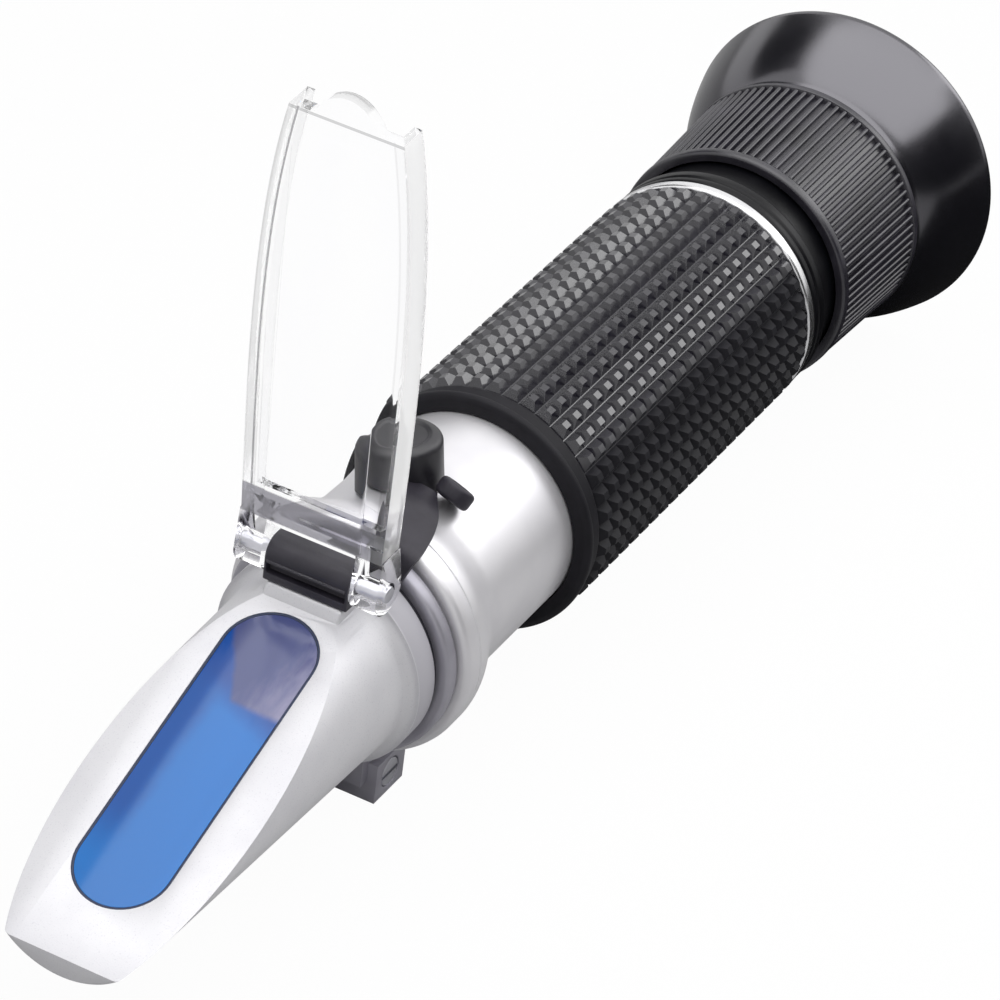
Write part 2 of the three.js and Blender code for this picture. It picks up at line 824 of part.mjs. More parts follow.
// The cap in its own frame, with its skirt shaped to the tube under it
function calibrationCap() {
  const bottom = tubeBore;
  const profile = [
    [0, bottom],
    [capRadius, bottom],
    [capRadius, capTop - capChamfer],
    [capRadius - capChamfer, capTop],
    [0, capTop],
  ];
  const points = profile.map(([radius, z]) => new THREE.Vector2(radius, z));
  const outside = new THREE.LatheGeometry(points, innerSides).rotateX(Math.PI / 2);
  const tube = turned([
    [flareX - calibrationX, 0],
    ...flareStations.map((x) => [x - calibrationX, flareRadiusAt(x) + runGap]),
    [capRadius + overrun, tubeRadius + runGap],
    [capRadius + overrun, 0],
  ]);
  const hollow = upright(bottom - overrun, capTop - capRoof, bossRadius + runGap);
  return cut(solid(outside), tube, solid(hollow));
}

// Path of the strap: up from the band, over the collar and the bell, down the flare
function strapSide() {
  const start = bandX + bandClearance;
  const end = start + strapReach;
  const stations = [...flareStations.filter((x) => x < end), end];
  const skin = (lift) => stations.map((x) => [x, flareRadiusAt(x) + runGap + lift]);
  return polygon([
    [collarX - bandClearance, bandRadius - strapThickness / 2],
    [collarX - bandClearance, bellRadius + runGap],
    ...skin(0),
    ...skin(strapThickness).reverse(),
    ...arc(start + strapThickness, bellRadius + runGap, strapThickness, Math.PI / 2, Math.PI),
    [start, bandRadius - strapThickness / 2],
  ]);
}

function strapPlan() {
  const start = bandX - overrun;
  const end = bandX + bandClearance + strapReach;
  const middle = start + (end - start) * strapMidShare;
  const swell = bandX + bandClearance;
  const shape = new THREE.Shape();
  shape.moveTo(start, -strapRootHalfWidth);
  shape.quadraticCurveTo(swell, -strapMidHalfWidth, middle, -strapMidHalfWidth);
  shape.quadraticCurveTo(end - overrun, -strapMidHalfWidth, end + overrun, -strapEndHalfWidth);
  shape.lineTo(end + overrun, strapEndHalfWidth);
  shape.quadraticCurveTo(end - overrun, strapMidHalfWidth, middle, strapMidHalfWidth);
  shape.quadraticCurveTo(swell, strapMidHalfWidth, start, strapRootHalfWidth);
  shape.closePath();
  return shape;
}

function neckBand() {
  const [x0, x1] = [bandX + bandClearance, collarX - bandClearance];
  const band = ring(x0, x1, spigotRadius + bandClearance, bandRadius);
  const strap = common(
    solid(sideSlab(strapSide(), toolReach)),
    solid(slab(strapPlan(), 0, toolReach)),
  );
  const strapGeometry = geometryOf(strap).applyMatrix4(aroundTube(-strapTurn, 0));
  const ringX = x0 + strapReach + pullRingRadius - strapThickness / 2;
  const seat = tubeRadius + runGap + strapThickness / 2;
  const [ringBottom, ringTop] = [seat, seat + pullRingThickness];
  const place = aroundTube(-pullRingTurn, ringX);
  const pull = cut(
    solid(upright(ringBottom, ringTop, pullRingRadius).applyMatrix4(place)),
    solid(upright(ringBottom - overrun, ringTop + overrun, pullRingHole).applyMatrix4(place)),
  );
  return join(band, solid(strapGeometry), pull);
}

const lugX = collarX + collarLength - lugOverlap;
const lugTop = -bellRadius - runGap;
const lugHeight = lugTop + eyecupRadius;
const clampScrewX = lugX + lugLength / 2;
const clampScrewZ = lugTop - lugHeight / 2;
const clampScrewRadius = lugHeight * clampScrewShare;
const clampScrewHeadRadius = lugHeight * clampScrewHeadShare;

function clampCollar() {
  const rearX = collarX + collarLength;
  const body = turned([
    [collarX, spigotRadius + runGap],
    [collarX, collarRadius - collarChamfer],
    [collarX + collarChamfer, collarRadius],
    [rearX, collarRadius],
    [rearX, spigotRadius + runGap],
  ]);
  const web = block(collarX, rearX, -lugWebHalfWidth, lugWebHalfWidth, clampScrewZ, -spigotRadius);
  const lug = block(lugX, lugX + lugLength, -lugHalfWidth, lugHalfWidth, -eyecupRadius, lugTop);
  const hole = disc(collarX - overrun, rearX + overrun, spigotRadius + runGap);
  const slit = block(
    collarX - overrun, lugX + lugLength + overrun, -slitWidth / 2, slitWidth / 2,
    -eyecupRadius - overrun, -spigotRadius + overrun,
  );
  const gap = seatGap;
  const screwHole = across(-toolReach, toolReach, clampScrewRadius + gap, clampScrewX, clampScrewZ);
  const headHole = across(
    -toolReach, -lugHalfWidth + clampScrewHeadLength + gap,
    clampScrewHeadRadius + gap, clampScrewX, clampScrewZ,
  );
  return cut(join(body, solid(web), solid(lug)), hole, solid(slit), solid(screwHole), solid(headHole));
}

function clampScrew() {
  const head = across(
    -lugHalfWidth, -lugHalfWidth + clampScrewHeadLength, clampScrewHeadRadius, clampScrewX, clampScrewZ,
  );
  const shank = across(
    -lugHalfWidth + clampScrewHeadLength / 2, lugHalfWidth, clampScrewRadius, clampScrewX, clampScrewZ,
  );
  const slot = block(
    clampScrewX - toolReach, clampScrewX + toolReach,
    -lugHalfWidth - overrun, -lugHalfWidth + clampScrewHeadLength / 2,
    clampScrewZ - clampScrewSlot / 2, clampScrewZ + clampScrewSlot / 2,
  );
  return cut(join(solid(head), solid(shank)), solid(slot));
}

// Objective stations, worked back from the stop in the tube
const stopFrontX = gripX - stopInset;
const cellRearX = stopFrontX - runGap;
const cellFrontX = cellRearX - cellLength;
const objectiveX = cellFrontX + objectiveRingLength + objectiveCrown + seatGap;

function objectiveCell() {
  const seatX = objectiveX + objectiveEdge + seatGap;
  return turned([
    [cellFrontX, cellBore],
    [cellFrontX, cellRadius],
    [cellRearX, cellRadius],
    [cellRearX, cellBore],
    [seatX + cellLipLength, cellBore],
    [seatX + cellLipLength, cellLipBore],
    [seatX, cellLipBore],
    [seatX, cellBore],
  ], innerSides);
}

const objectiveLens = () => lens(objectiveX, objectiveEdge, objectiveRadius, objectiveCrown, 0);
const objectiveRing = () => ring(
  cellFrontX, cellFrontX + objectiveRingLength, objectiveRingBore, objectiveRadius, innerSides,
);
const cellRing = () => ring(
  cellFrontX - runGap - cellRingLength, cellFrontX - runGap, cellRingBore, tubeBore - seatGap, innerSides,
);

// Bowed leaf spring between the tube's floor and the cell
function cellSpring() {
  const [x0, x1] = [cellFrontX + overrun, cellRearX - overrun];
  const low = -tubeBore + runGap + springThickness;
  const high = -cellRadius - runGap - springThickness;
  const rise = high - low;
  const shares = sharesOf(curveSteps);
  const bow = (share) => low + rise * (1 - blend(2 * share));
  const lower = shares.map((share) => [x0 + (x1 - x0) * share, bow(share)]);
  const upper = shares.map((share) => [x0 + (x1 - x0) * share, bow(share) + springThickness]).reverse();
  return sideSlab(polygon([...lower, ...upper]), springWidth / 2);
}

const reticleCellX = trimX - reticleInset - reticleCellLength;

function reticleCell() {
  const x1 = reticleCellX + reticleCellLength;
  return turned([
    [reticleCellX, reticlePocketRadius],
    [reticleCellX, reticleCellRadius],
    [x1, reticleCellRadius],
    [x1, reticleBore],
    [reticleCellX + reticlePocketDepth, reticleBore],
    [reticleCellX + reticlePocketDepth, reticlePocketRadius],
  ], innerSides);
}

function reticle() {
  const x1 = reticleCellX + reticlePocketDepth - seatGap;
  return disc(x1 - reticleThickness, x1, reticleRadius, innerSides);
}

// Rubber sleeve: plain rings in front, then square pyramids in rows and columns
function gripSleeve() {
  const bore = tubeRadius + seatGap;
  const patternX = gripX + gripPatternInset;
  const pitch = (trimX - patternX) / gripRows;
  const beadX = gripX + gripBeadLength;
  const plain = [
    [gripX, bore],
    [gripX, gripCollarRadius - gripEdge],
    [gripX + gripEdge, gripBeadRadius],
    [beadX, gripBeadRadius],
    [beadX + gripEdge, gripCollarRadius - gripGroove],
    [patternX - gripEdge, gripCollarRadius],
  ].map(([x, radius]) => evenRing(x, radius, gripColumns));
  const valleys = sharesOf(gripRows).map((share) => (
    evenRing(patternX + (trimX - patternX) * share, gripValleyRadius, gripColumns)
  ));
  const skin = loft([...plain, ...valleys, evenRing(trimX, bore, gripColumns)]);
  const places = [...skin.getAttribute('position').array];
  const corners = [...skin.index.array];
  const perCell = corners.length / (gripColumns * (plain.length + valleys.length + 1));
  const first = plain.length * gripColumns * perCell;
  const cells = Array.from({ length: gripRows * gripColumns }, (_, i) => i);
  const flats = corners.splice(first, cells.length * perCell);
  cells.forEach((cell) => {
    const [a, b, c, , , d] = flats.slice(cell * perCell, (cell + 1) * perCell);
    const tip = places.length / 3;
    const turn = (cell % gripColumns + 1 / 2) * Math.PI * 2 / gripColumns;
    const along = patternX + (Math.floor(cell / gripColumns) + 1 / 2) * pitch;
    places.push(along, gripTipRadius * Math.sin(turn), gripTipRadius * Math.cos(turn));
    corners.push(a, b, tip, b, c, tip, c, d, tip, d, a, tip);
  });
  const geometry = new THREE.BufferGeometry();
  geometry.setAttribute('position', new THREE.Float32BufferAttribute(places, 3));
  geometry.setIndex(corners);
  return welded(geometry);
}

function trimRing() {
  const x1 = trimX + trimLength;
  return turned([
    [trimX, tubeRadius + seatGap],
    [trimX, trimRadius - trimChamfer],
    [trimX + trimChamfer, trimRadius],
    [x1, trimRadius],
    [x1, tubeRadius + seatGap],
  ]);
}

const sleeveEndX = focusX + sleeveReach;
const guidePinX = focusX + guidePinInset;

function rearCollar() {
  const shoulderX = rearCollarX + tubeTail + seatGap;
  const body = turned([
    [rearCollarX, tubeRadius + seatGap],
    [rearCollarX, rearCollarRadius - rearCollarEdge],
    [rearCollarX + rearCollarEdge, rearCollarRadius],
    ...arc(sleeveX - rearCollarEdge, rearCollarRadius - rearCollarEdge, rearCollarEdge, Math.PI / 2, 0),
    [sleeveX, sleeveRadius],
    [sleeveEndX, sleeveRadius],
    [sleeveEndX, tubeBore],
    [shoulderX, tubeBore],
    [shoulderX, tubeRadius + seatGap],
  ]);
  const hole = upright(-toolReach, 0, guidePinRadius + seatGap).translate(guidePinX, 0, 0);
  return cut(body, solid(hole));
}

const guidePin = () => upright(-(sleeveRadius - seatGap), -guidePinTipRadius, guidePinRadius)
  .translate(guidePinX, 0, 0);

// Ocular stations
const shoulderX = focusX + skirtDepth;
const recessX = eyecupX - spindleRecessInset;
const ocularRearX = recessX + runGap + ocularFlangeLength;
const ocularFrontX = ocularRearX - ocularLength;

function ocularTube() {
  const body = turned([
    [ocularFrontX, ocularLipBore],
    [ocularFrontX, ocularRadius],
    [ocularRearX - ocularFlangeLength, ocularRadius],
    [ocularRearX - ocularFlangeLength, ocularFlangeRadius],
    [ocularRearX, ocularFlangeRadius],
    [ocularRearX, ocularBore],
    [ocularFrontX + ocularLipLength, ocularBore],
    [ocularFrontX + ocularLipLength, ocularLipBore],
  ]);
  const halfLength = focusTravel + guidePinRadius + runGap;
  const halfWidth = guidePinRadius + runGap;
  const slot = block(
    guidePinX - halfLength, guidePinX + halfLength,
    -halfWidth, halfWidth,
    -ocularRadius - overrun, -lensRadius,
  );
  return cut(body, solid(slot));
}

const clipX = shoulderX - clipInset - clipLength;
const ocularClip = () => ring(clipX, clipX + clipLength, ocularRadius + seatGap, clipRadius);
const fieldLensX = ocularFrontX + ocularLipLength + seatGap;
const spacerX = fieldLensX + fieldLensEdge + fieldLensCrown + seatGap;
const eyeLensX = spacerX + spacerLength + eyeLensCrown + seatGap;
const fieldLens = () => lens(fieldLensX, fieldLensEdge, lensRadius, 0, fieldLensCrown);
const eyeLens = () => lens(eyeLensX, eyeLensEdge, lensRadius, eyeLensCrown, eyeLensCrown);
const lensSpacer = () => ring(spacerX, spacerX + spacerLength, spacerBore, lensRadius, innerSides);

function ocularRing() {
  const x0 = eyeLensX + eyeLensEdge + eyeLensCrown + seatGap;
  return ring(x0, x0 + ocularRingLength, ocularRingBore, lensRadius, innerSides);
}

const focusTaper = (focusRearRadius - focusFrontRadius) / focusLength;
const focusRadiusAt = (x) => focusFrontRadius + focusTaper * (x - focusX);

function focusRing() {
  const seatEndX = eyecupX + eyecupSeatLength;
  const [ribX0, ribX1] = [focusX + ribFrontInset, eyecupX - ribRearInset];
  const sides = ribCount / 2;
  const shoulder = (x) => evenRing(x, focusRadiusAt(x), sides);
  const ribs = (x) => evenRing(x, focusRadiusAt(x) - ribDrop, ribCount * 2, ribDepth);
  const outside = [
    evenRing(focusX, focusFrontRadius - focusEdge, sides),
    shoulder(focusX + focusEdge),
    shoulder(ribX0),
    ribs(ribX0),
    ribs(ribX1),
    shoulder(ribX1),
    shoulder(eyecupX - focusEdge),
    evenRing(eyecupX, focusRearRadius - focusEdge, sides),
  ];
  const inside = [
    [eyecupX, eyecupSeatRadius],
    [seatEndX, eyecupSeatRadius],
    [seatEndX, spindleRecessBore],
    [recessX, spindleRecessBore],
    [recessX, tubeBore],
    [shoulderX, tubeBore],
    [shoulderX, skirtBore],
    [focusX, skirtBore],
  ].map(([x, radius]) => evenRing(x, radius, sides));
  return welded(loft([...outside, ...inside]));
}

function eyecup() {
  const seatEndX = eyecupX + eyecupSeatLength + runGap;
  const floorX = seatEndX + eyecupLipThickness;
  const rootX = eyecupX + runGap;
  const half = eyecupWall / 2;
  const flare = new THREE.QuadraticBezierCurve(
    new THREE.Vector2(rootX + half, eyecupRootRadius),
    new THREE.Vector2(rootX + half, eyecupRootRadius).add(eyecupFlare),
    new THREE.Vector2(rimX - half, eyecupRadius),
  ).getPoints(curveSteps);
  return turned([
    [rootX, eyecupSeatRadius + runGap],
    [rootX, eyecupRootRadius - half / 2],
    ...flare.map((point) => [point.x, point.y]),
    ...arc(rimX - half, eyecupRadius - half, half, Math.PI / 2, -Math.PI / 2, rimSteps),
    [floorX, eyecupFloorRadius],
    [floorX, eyecupLipBore],
    [seatEndX, eyecupLipBore],
    [seatEndX, eyecupSeatRadius + runGap],
  ]);
}

// Finishes
const castMetal = () => finish(0xc9c9cf, 0.42, 0.9);
const greyMetal = () => finish(0x8d8a92, 0.4, 0.9);
const brightMetal = () => finish(0xf0f0f2, 0.2, 1);
const steel = () => finish(0xb4b6ba, 0.3, 1);
const brass = () => finish(0xb08d57, 0.35, 1);
const blackMetal = () => finish(0x1b1a20, 0.5, 0.6);
const blackRubber = () => finish(0x1e1d24, 0.6, 0);
const glossRubber = () => finish(0x14131a, 0.3, 0);
const darkSealant = () => finish(0x10141f, 0.7, 0);
const blueGlass = () => finish(0x2f7fd0, 0.1, 0, 0.85);
const clearGlass = () => finish(0xe8eef2, 0.05, 0, 0.35);
const clearPlastic = () => finish(0xf4f6f8, 0.1, 0, 0.3);

// Assembly: the tube lies along X at the height of the eyecup's radius
const refractometer = new THREE.Group();
const tube = new THREE.Group();
tube.position.z = eyecupRadius;
refractometer.add(tube);

const frameX = prismRearX + runGap;
const stripX = frameX + frameThickness + seatGap;
tube.add(
  piece('nose_housing', geometryOf(noseHousing()), castMetal()),
  piece('window_seal', welded(windowSeal()), darkSealant()),
  piece('main_prism', geometryOf(mainPrism()), blueGlass()),
  piece('prism_frame', geometryOf(prismFrame(frameX)), brass()),
  piece('prism_frame_screw_left', welded(frameScrew(frameX, 1)), steel()),
  piece('prism_frame_screw_right', welded(frameScrew(frameX, -1)), steel()),
  piece('bimetal_strip', welded(bimetalStrip(stripX, cellFrontX - runGap)), brass()),
  piece('hinge_block', geometryOf(hingeBlock()), blackRubber()),
  piece('hinge_pin', welded(hingePin()), steel()),
  piece('neck_band', geometryOf(neckBand()), blackRubber()),
  piece('clamp_collar', geometryOf(clampCollar()), greyMetal()),
  piece('clamp_screw', geometryOf(clampScrew()), steel()),
  piece('body_tube', geometryOf(bodyTube()), castMetal()),
  piece('objective_cell', geometryOf(objectiveCell()), blackMetal()),
  piece('objective_lens', geometryOf(objectiveLens()), clearGlass()),
  piece('objective_ring', geometryOf(objectiveRing()), blackMetal()),
  piece('cell_ring', geometryOf(cellRing()), blackMetal()),
  piece('cell_spring', welded(cellSpring()), steel()),
  piece('reticle_cell', geometryOf(reticleCell()), blackMetal()),
  piece('reticle', geometryOf(reticle()), clearGlass()),
  piece('grip_sleeve', gripSleeve(), blackRubber()),
  piece('trim_ring', geometryOf(trimRing()), brightMetal()),
  piece('rear_collar', geometryOf(rearCollar()), blackMetal()),
  piece('guide_pin', welded(guidePin()), steel()),
  piece('ocular_tube', geometryOf(ocularTube()), blackMetal()),
  piece('ocular_clip', geometryOf(ocularClip()), steel()),
  piece('field_lens', geometryOf(fieldLens()), clearGlass()),
  piece('lens_spacer', geometryOf(lensSpacer()), blackMetal()),
  piece('eye_lens', geometryOf(eyeLens()), clearGlass()),
  piece('ocular_ring', geometryOf(ocularRing()), blackMetal()),
  piece('focus_ring', focusRing(), blackMetal()),
  piece('eyecup', geometryOf(eyecup()), glossRubber()),
);

const cover = new THREE.Group();
cover.position.set(pinX, 0, pinZ);
cover.rotation.y = -restLean;
cover.add(piece('cover_plate', geometryOf(coverPlate()), clearPlastic()));
tube.add(cover);

const calibration = new THREE.Group();
calibration.position.x = calibrationX;
calibration.rotation.x = -calibrationTurn;
calibration.add(
  piece('calibration_screw', geometryOf(calibrationScrew()), brass()),
  piece('calibration_cap', geometryOf(calibrationCap()), blackRubber()),
);
tube.add(calibration);

export default refractometer;
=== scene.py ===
"""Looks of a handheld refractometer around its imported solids.

Sizes are millimetres, with X along the tube and heights from its axis. A finished piece becomes
metres in the row's frame when it is put into the scene.
"""

import math

import bmesh
import bpy
from mathutils import Matrix, Vector


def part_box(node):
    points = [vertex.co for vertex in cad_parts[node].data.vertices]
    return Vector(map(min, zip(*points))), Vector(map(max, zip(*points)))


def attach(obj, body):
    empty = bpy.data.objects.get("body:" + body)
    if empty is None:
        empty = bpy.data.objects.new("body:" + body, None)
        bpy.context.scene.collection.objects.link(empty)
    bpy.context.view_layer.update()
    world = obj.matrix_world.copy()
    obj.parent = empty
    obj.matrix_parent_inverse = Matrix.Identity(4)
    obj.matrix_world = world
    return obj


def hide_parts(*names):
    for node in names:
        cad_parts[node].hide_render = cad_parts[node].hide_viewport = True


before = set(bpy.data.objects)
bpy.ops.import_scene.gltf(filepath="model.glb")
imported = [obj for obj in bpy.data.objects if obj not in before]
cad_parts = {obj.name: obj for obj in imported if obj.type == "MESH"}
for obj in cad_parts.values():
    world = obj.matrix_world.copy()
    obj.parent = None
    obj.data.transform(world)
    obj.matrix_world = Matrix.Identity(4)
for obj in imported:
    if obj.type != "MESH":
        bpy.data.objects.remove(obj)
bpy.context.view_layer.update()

MM = 0.001
QUARTER = math.radians(90)
FINE = 144


# Places and sizes that several pieces share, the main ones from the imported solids


def span(node, axis):
    """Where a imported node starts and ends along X, Y or Z, to a hundredth of a millimetre."""
    return [round(corner["XYZ".index(axis)] / MM, 2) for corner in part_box(node)]


def middle(node, axis):
    return round(sum(span(node, axis)) / 2, 2)


# The object lies on its eyecup, whose radius is the height of the axis
AXIS_HEIGHT = span("eyecup", "Y")[1]

# Stations along the tube, from the nose tip to the eyecup rim
TIP = span("nose_housing", "X")[0]
BLOCK_FRONT, BLOCK_BACK = span("hinge_block", "X")
FLANGE, FLANGE_END = TIP + 49.2, TIP + 52.75
BAND = span("neck_band", "X")[0]
COLLAR, FOOT_END = span("clamp_collar", "X")
BELL, TUBE_END = span("body_tube", "X")
COLLAR_END, FLARE, TUBE = BELL - 0.2, BELL + 2.9, BELL + 10.5
GRIP = span("grip_sleeve", "X")[0]
PATTERN = GRIP + 3.6
TRIM, REAR = span("trim_ring", "X")
SLEEVE = REAR + 3.1
FOCUS, FOCUS_END = span("focus_ring", "X")
CUP, RIM = span("eyecup", "X")
SHOULDER = CUP - 0.3

# Radii round the axis
BELL_RADIUS = span("body_tube", "Y")[1]
TUBE_RADIUS, BORE = 12.45, 11.2
GRIP_BORE, VALLEY = 12.6, 13.7

# The nose's sloping flat and the window in it, measured up the slope
SLOPE, SLOPE_DROP = math.radians(21.5), 7.3
WINDOW_START, WINDOW_END, WINDOW_HALF = 6.85, 46.05, 5.45

# The clear plate, upright from its hinge pin, its sample face towards -X
PIN = Vector((middle("hinge_pin", "X"), 0.0, middle("hinge_pin", "Z") - AXIS_HEIGHT))
REST_LEAN = math.radians(2.5)
FACE, FRONT, BACK, RAIL_BACK = -1.98, -1.88, -0.38, 1.72
FOOT, BAR_TOP, TOP, RAIL = 4.4, 8.0, 55.5, 1.1
BOW, BOW_LEVELS = (8.35, 8.8, 9.8, 6.5), (20, 40)

CALIBRATION = middle("calibration_screw", "X")
CALIBRATION_TURN = math.radians(8)


# Shaping


def flat_mesh(points, closed=True):
    """Vertices in order with an edge from each to the next."""
    mesh = bmesh.new()
    corners = [mesh.verts.new(point) for point in points]
    for first, second in zip(corners, corners[1:]):
        mesh.edges.new((first, second))
    if closed:
        mesh.edges.new((corners[-1], corners[0]))
    return mesh


def outline(points, closed=True, steps=4):
    """An outline of (x, y, z, radius) points, each corner rounded by its own radius."""
    mesh = flat_mesh([point[:3] for point in points], closed)
    mesh.verts.ensure_lookup_table()
    corners = [(mesh.verts[i], point[3]) for i, point in enumerate(points) if point[3]]
    for radius in sorted({radius for _, radius in corners}):
        chosen = [corner for corner, size in corners if size == radius and corner.is_valid]
        bmesh.ops.bevel(
            mesh, geom=chosen, offset=radius, offset_type="OFFSET", segments=steps,
            affect="VERTICES", profile=0.5, material=-1,
        )
    return mesh


def cleaned(mesh):
    """A body with its doubles merged and its faces turned outwards."""
    bmesh.ops.remove_doubles(mesh, verts=mesh.verts[:], dist=1e-4)
    bmesh.ops.dissolve_degenerate(mesh, edges=mesh.edges[:], dist=1e-5)
    bmesh.ops.recalc_face_normals(mesh, faces=mesh.faces[:])
    return mesh


def placed(mesh, matrix):
    bmesh.ops.transform(mesh, matrix=matrix, verts=mesh.verts[:])
    return mesh


def turned(profile, sides=FINE, steps=4):
    """A body turned about X from (x, radius) points. A third number rounds that corner."""
    points = [(p[0], 0.0, p[1], p[2] if len(p) > 2 else 0.0) for p in profile]
    open_ended = points[0][2] == 0 and points[-1][2] == 0
    mesh = outline(points, closed=not open_ended, steps=steps)
    bmesh.ops.spin(
        mesh, geom=mesh.verts[:] + mesh.edges[:], cent=(0, 0, 0), axis=(1, 0, 0),
        angle=math.tau, steps=sides, use_merge=True, use_duplicate=False,
    )
    return cleaned(mesh)


def repeated(mesh, count):
    """A body copied round the tube, evenly, a count of times."""
    bmesh.ops.spin(
        mesh, geom=mesh.verts[:] + mesh.edges[:] + mesh.faces[:], cent=(0, 0, 0), axis=(1, 0, 0),
        angle=math.tau - math.tau / count, steps=count - 1, use_merge=False, use_duplicate=True,
    )
    return mesh


def pressed(points, depth, steps=4):
    """An outline in X and Y given depth along Z. A third number rounds that corner."""
    mesh = outline([(p[0], p[1], 0.0, p[2] if len(p) > 2 else 0.0) for p in points], steps=steps)
    face = bmesh.ops.contextual_create(mesh, geom=mesh.edges[:])["faces"]
    grown = bmesh.ops.extrude_face_region(mesh, geom=face)["geom"]
    moved = [item for item in grown if isinstance(item, bmesh.types.BMVert)]
    bmesh.ops.translate(mesh, verts=moved, vec=(0, 0, depth))
    return cleaned(mesh)


def across(points, half, steps=4, centre=0.0):
    """An outline in X and Z given half its width to each side of a centre in Y."""
    stand = Matrix.Translation((0, centre + half, 0)) @ Matrix.Rotation(QUARTER, 4, "X")
    return placed(pressed(points, 2 * half, steps), stand)


def curve(controls, steps):
    """Points along the curve that leans to its inner controls, both ends among them."""
    last = len(controls) - 1
    points = []
    for i in range(steps + 1):
        t = i / steps
        shares = [math.comb(last, k) * t ** k * (1 - t) ** (last - k) for k in range(last + 1)]
        points.append(tuple(sum(s * c[axis] for s, c in zip(shares, controls)) for axis in (0, 1)))
    return points


def block(low, high):
    """A box between two corners."""
    mesh = bmesh.new()
    bmesh.ops.create_cube(mesh, size=1)
    bmesh.ops.scale(mesh, vec=Vector(high) - Vector(low), verts=mesh.verts[:])
    bmesh.ops.translate(mesh, vec=(Vector(high) + Vector(low)) / 2, verts=mesh.verts[:])
    return mesh


def rod(radius, start, end, sides=48):
    """A round rod between two points."""
    mesh = bmesh.new()
    start, end = Vector(start), Vector(end)
    bmesh.ops.create_cone(
        mesh, cap_ends=True, segments=sides, radius1=radius, radius2=radius, depth=(end - start).length,
    )
    turn = (end - start).to_track_quat("Z", "Y").to_matrix().to_4x4()
    return placed(mesh, Matrix.Translation((start + end) / 2) @ turn)


def loose(mesh, name="work"):
    """An object in the scene with the mesh as its own."""
    data = bpy.data.meshes.new(name)
    mesh.to_mesh(data)
    mesh.free()
    thing = bpy.data.objects.new(name, data)
    bpy.context.scene.collection.objects.link(thing)
    return thing


def discard(thing):
    """Removes an object and its mesh."""
    data = thing.data
    bpy.data.objects.remove(thing)
    bpy.data.meshes.remove(data)


def combined(first, *steps):
    """A body after exact joins and cuts. Each step is an operation's name and another body."""
    target = loose(first)
    helpers = []
    for operation, body in steps:
        helper = loose(body)
        helpers.append(helper)
        change = target.modifiers.new(operation, "BOOLEAN")
        change.operation, change.solver, change.object = operation, "EXACT", helper
    bpy.context.view_layer.update()
    result = target.evaluated_get(bpy.context.evaluated_depsgraph_get()).to_mesh()
    mesh = bmesh.new()
    mesh.from_mesh(result)
    for thing in [target] + helpers:
        discard(thing)
    bmesh.ops.remove_doubles(mesh, verts=mesh.verts[:], dist=1e-4)
    return mesh


def softened(mesh, width, angle=40, steps=2):
    """Sharp edges given a small round."""
    limit = math.radians(angle)
    sharp = [edge for edge in mesh.edges if len(edge.link_faces) == 2 and edge.calc_face_angle() > limit]
    bmesh.ops.bevel(
        mesh, geom=sharp, offset=width, offset_type="OFFSET", segments=steps, affect="EDGES",
        profile=0.5, material=-1, clamp_overlap=True,
    )
    return mesh


def new_piece(name, mesh, finish, body, node, smooth=32):
    """Puts a finished body into the scene in the row's frame, in the place of a CAD node."""
    to_row = Matrix.Translation((0, 0, AXIS_HEIGHT * MM)) @ Matrix.Scale(MM, 4)
    bmesh.ops.transform(mesh, matrix=to_row, verts=mesh.verts[:])
    limit = math.radians(smooth)
    for edge in mesh.edges:
        edge.smooth = len(edge.link_faces) == 2 and edge.calc_face_angle() < limit
    for face in mesh.faces:
        face.smooth = True
    piece = loose(mesh, name)
    piece.data.materials.append(finish)
    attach(piece, body)
    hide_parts(node)


# Finishes


class Value:
    """What a node gives, with the shader's sums written as Python's."""

    def __init__(self, graph, socket):
        self.graph, self.socket = graph, socket

    def maths(self, operation, *terms):
        return self.graph.node("ShaderNodeMath", {"operation": operation}, dict(enumerate(terms)))

    def __add__(self, other):
        return self.maths("ADD", self, other)

    __radd__ = __add__

    def __mul__(self, other):
        return self.maths("MULTIPLY", self, other)

    __rmul__ = __mul__

    def __sub__(self, other):
        return self.maths("SUBTRACT", self, other)

    def __rsub__(self, other):
        return self.maths("SUBTRACT", other, self)

    def __abs__(self):
        return self.maths("ABSOLUTE", self)

    def or_more(self, other):
        """The larger of two."""
        return self.maths("MAXIMUM", self, other)

    def above(self, low, high):
        """0 below low, 1 above high and smooth between."""
        settings = {"interpolation_type": "SMOOTHSTEP"}
        inputs = {"Value": self, "From Min": low, "From Max": high}
        return self.graph.node("ShaderNodeMapRange", settings, inputs)

    def between(self, low, high, edge):
        """1 from low to high, with soft edges outside them."""
        return self.above(low - edge, low) * (1 - self.above(high, high + edge))

    def beside(self, output):
        """Another output of the same node."""
        return Value(self.graph, self.socket.node.outputs[output])


class Graph:
    """The nodes of a material or of the world."""

    def __init__(self, owner):
        owner.use_nodes = True
        self.tree = owner.node_tree

    def feed(self, node, name, value):
        """Gives a node's socket a link, a colour or a number."""
        socket = node.inputs[name]
        if isinstance(value, Value):
            self.tree.links.new(value.socket, socket)
        elif socket.type == "RGBA":
            socket.default_value = (*value, 1)
        else:
            socket.default_value = value

    def node(self, kind, settings=None, inputs=None, output=0):
        """Any node: its settings first, then the values or links of its sockets."""
        node = self.tree.nodes.new(kind)
        for name, value in (settings or {}).items():
            setattr(node, name, value)
        for name, value in (inputs or {}).items():
            self.feed(node, name, value)
        return Value(self, node.outputs[output])


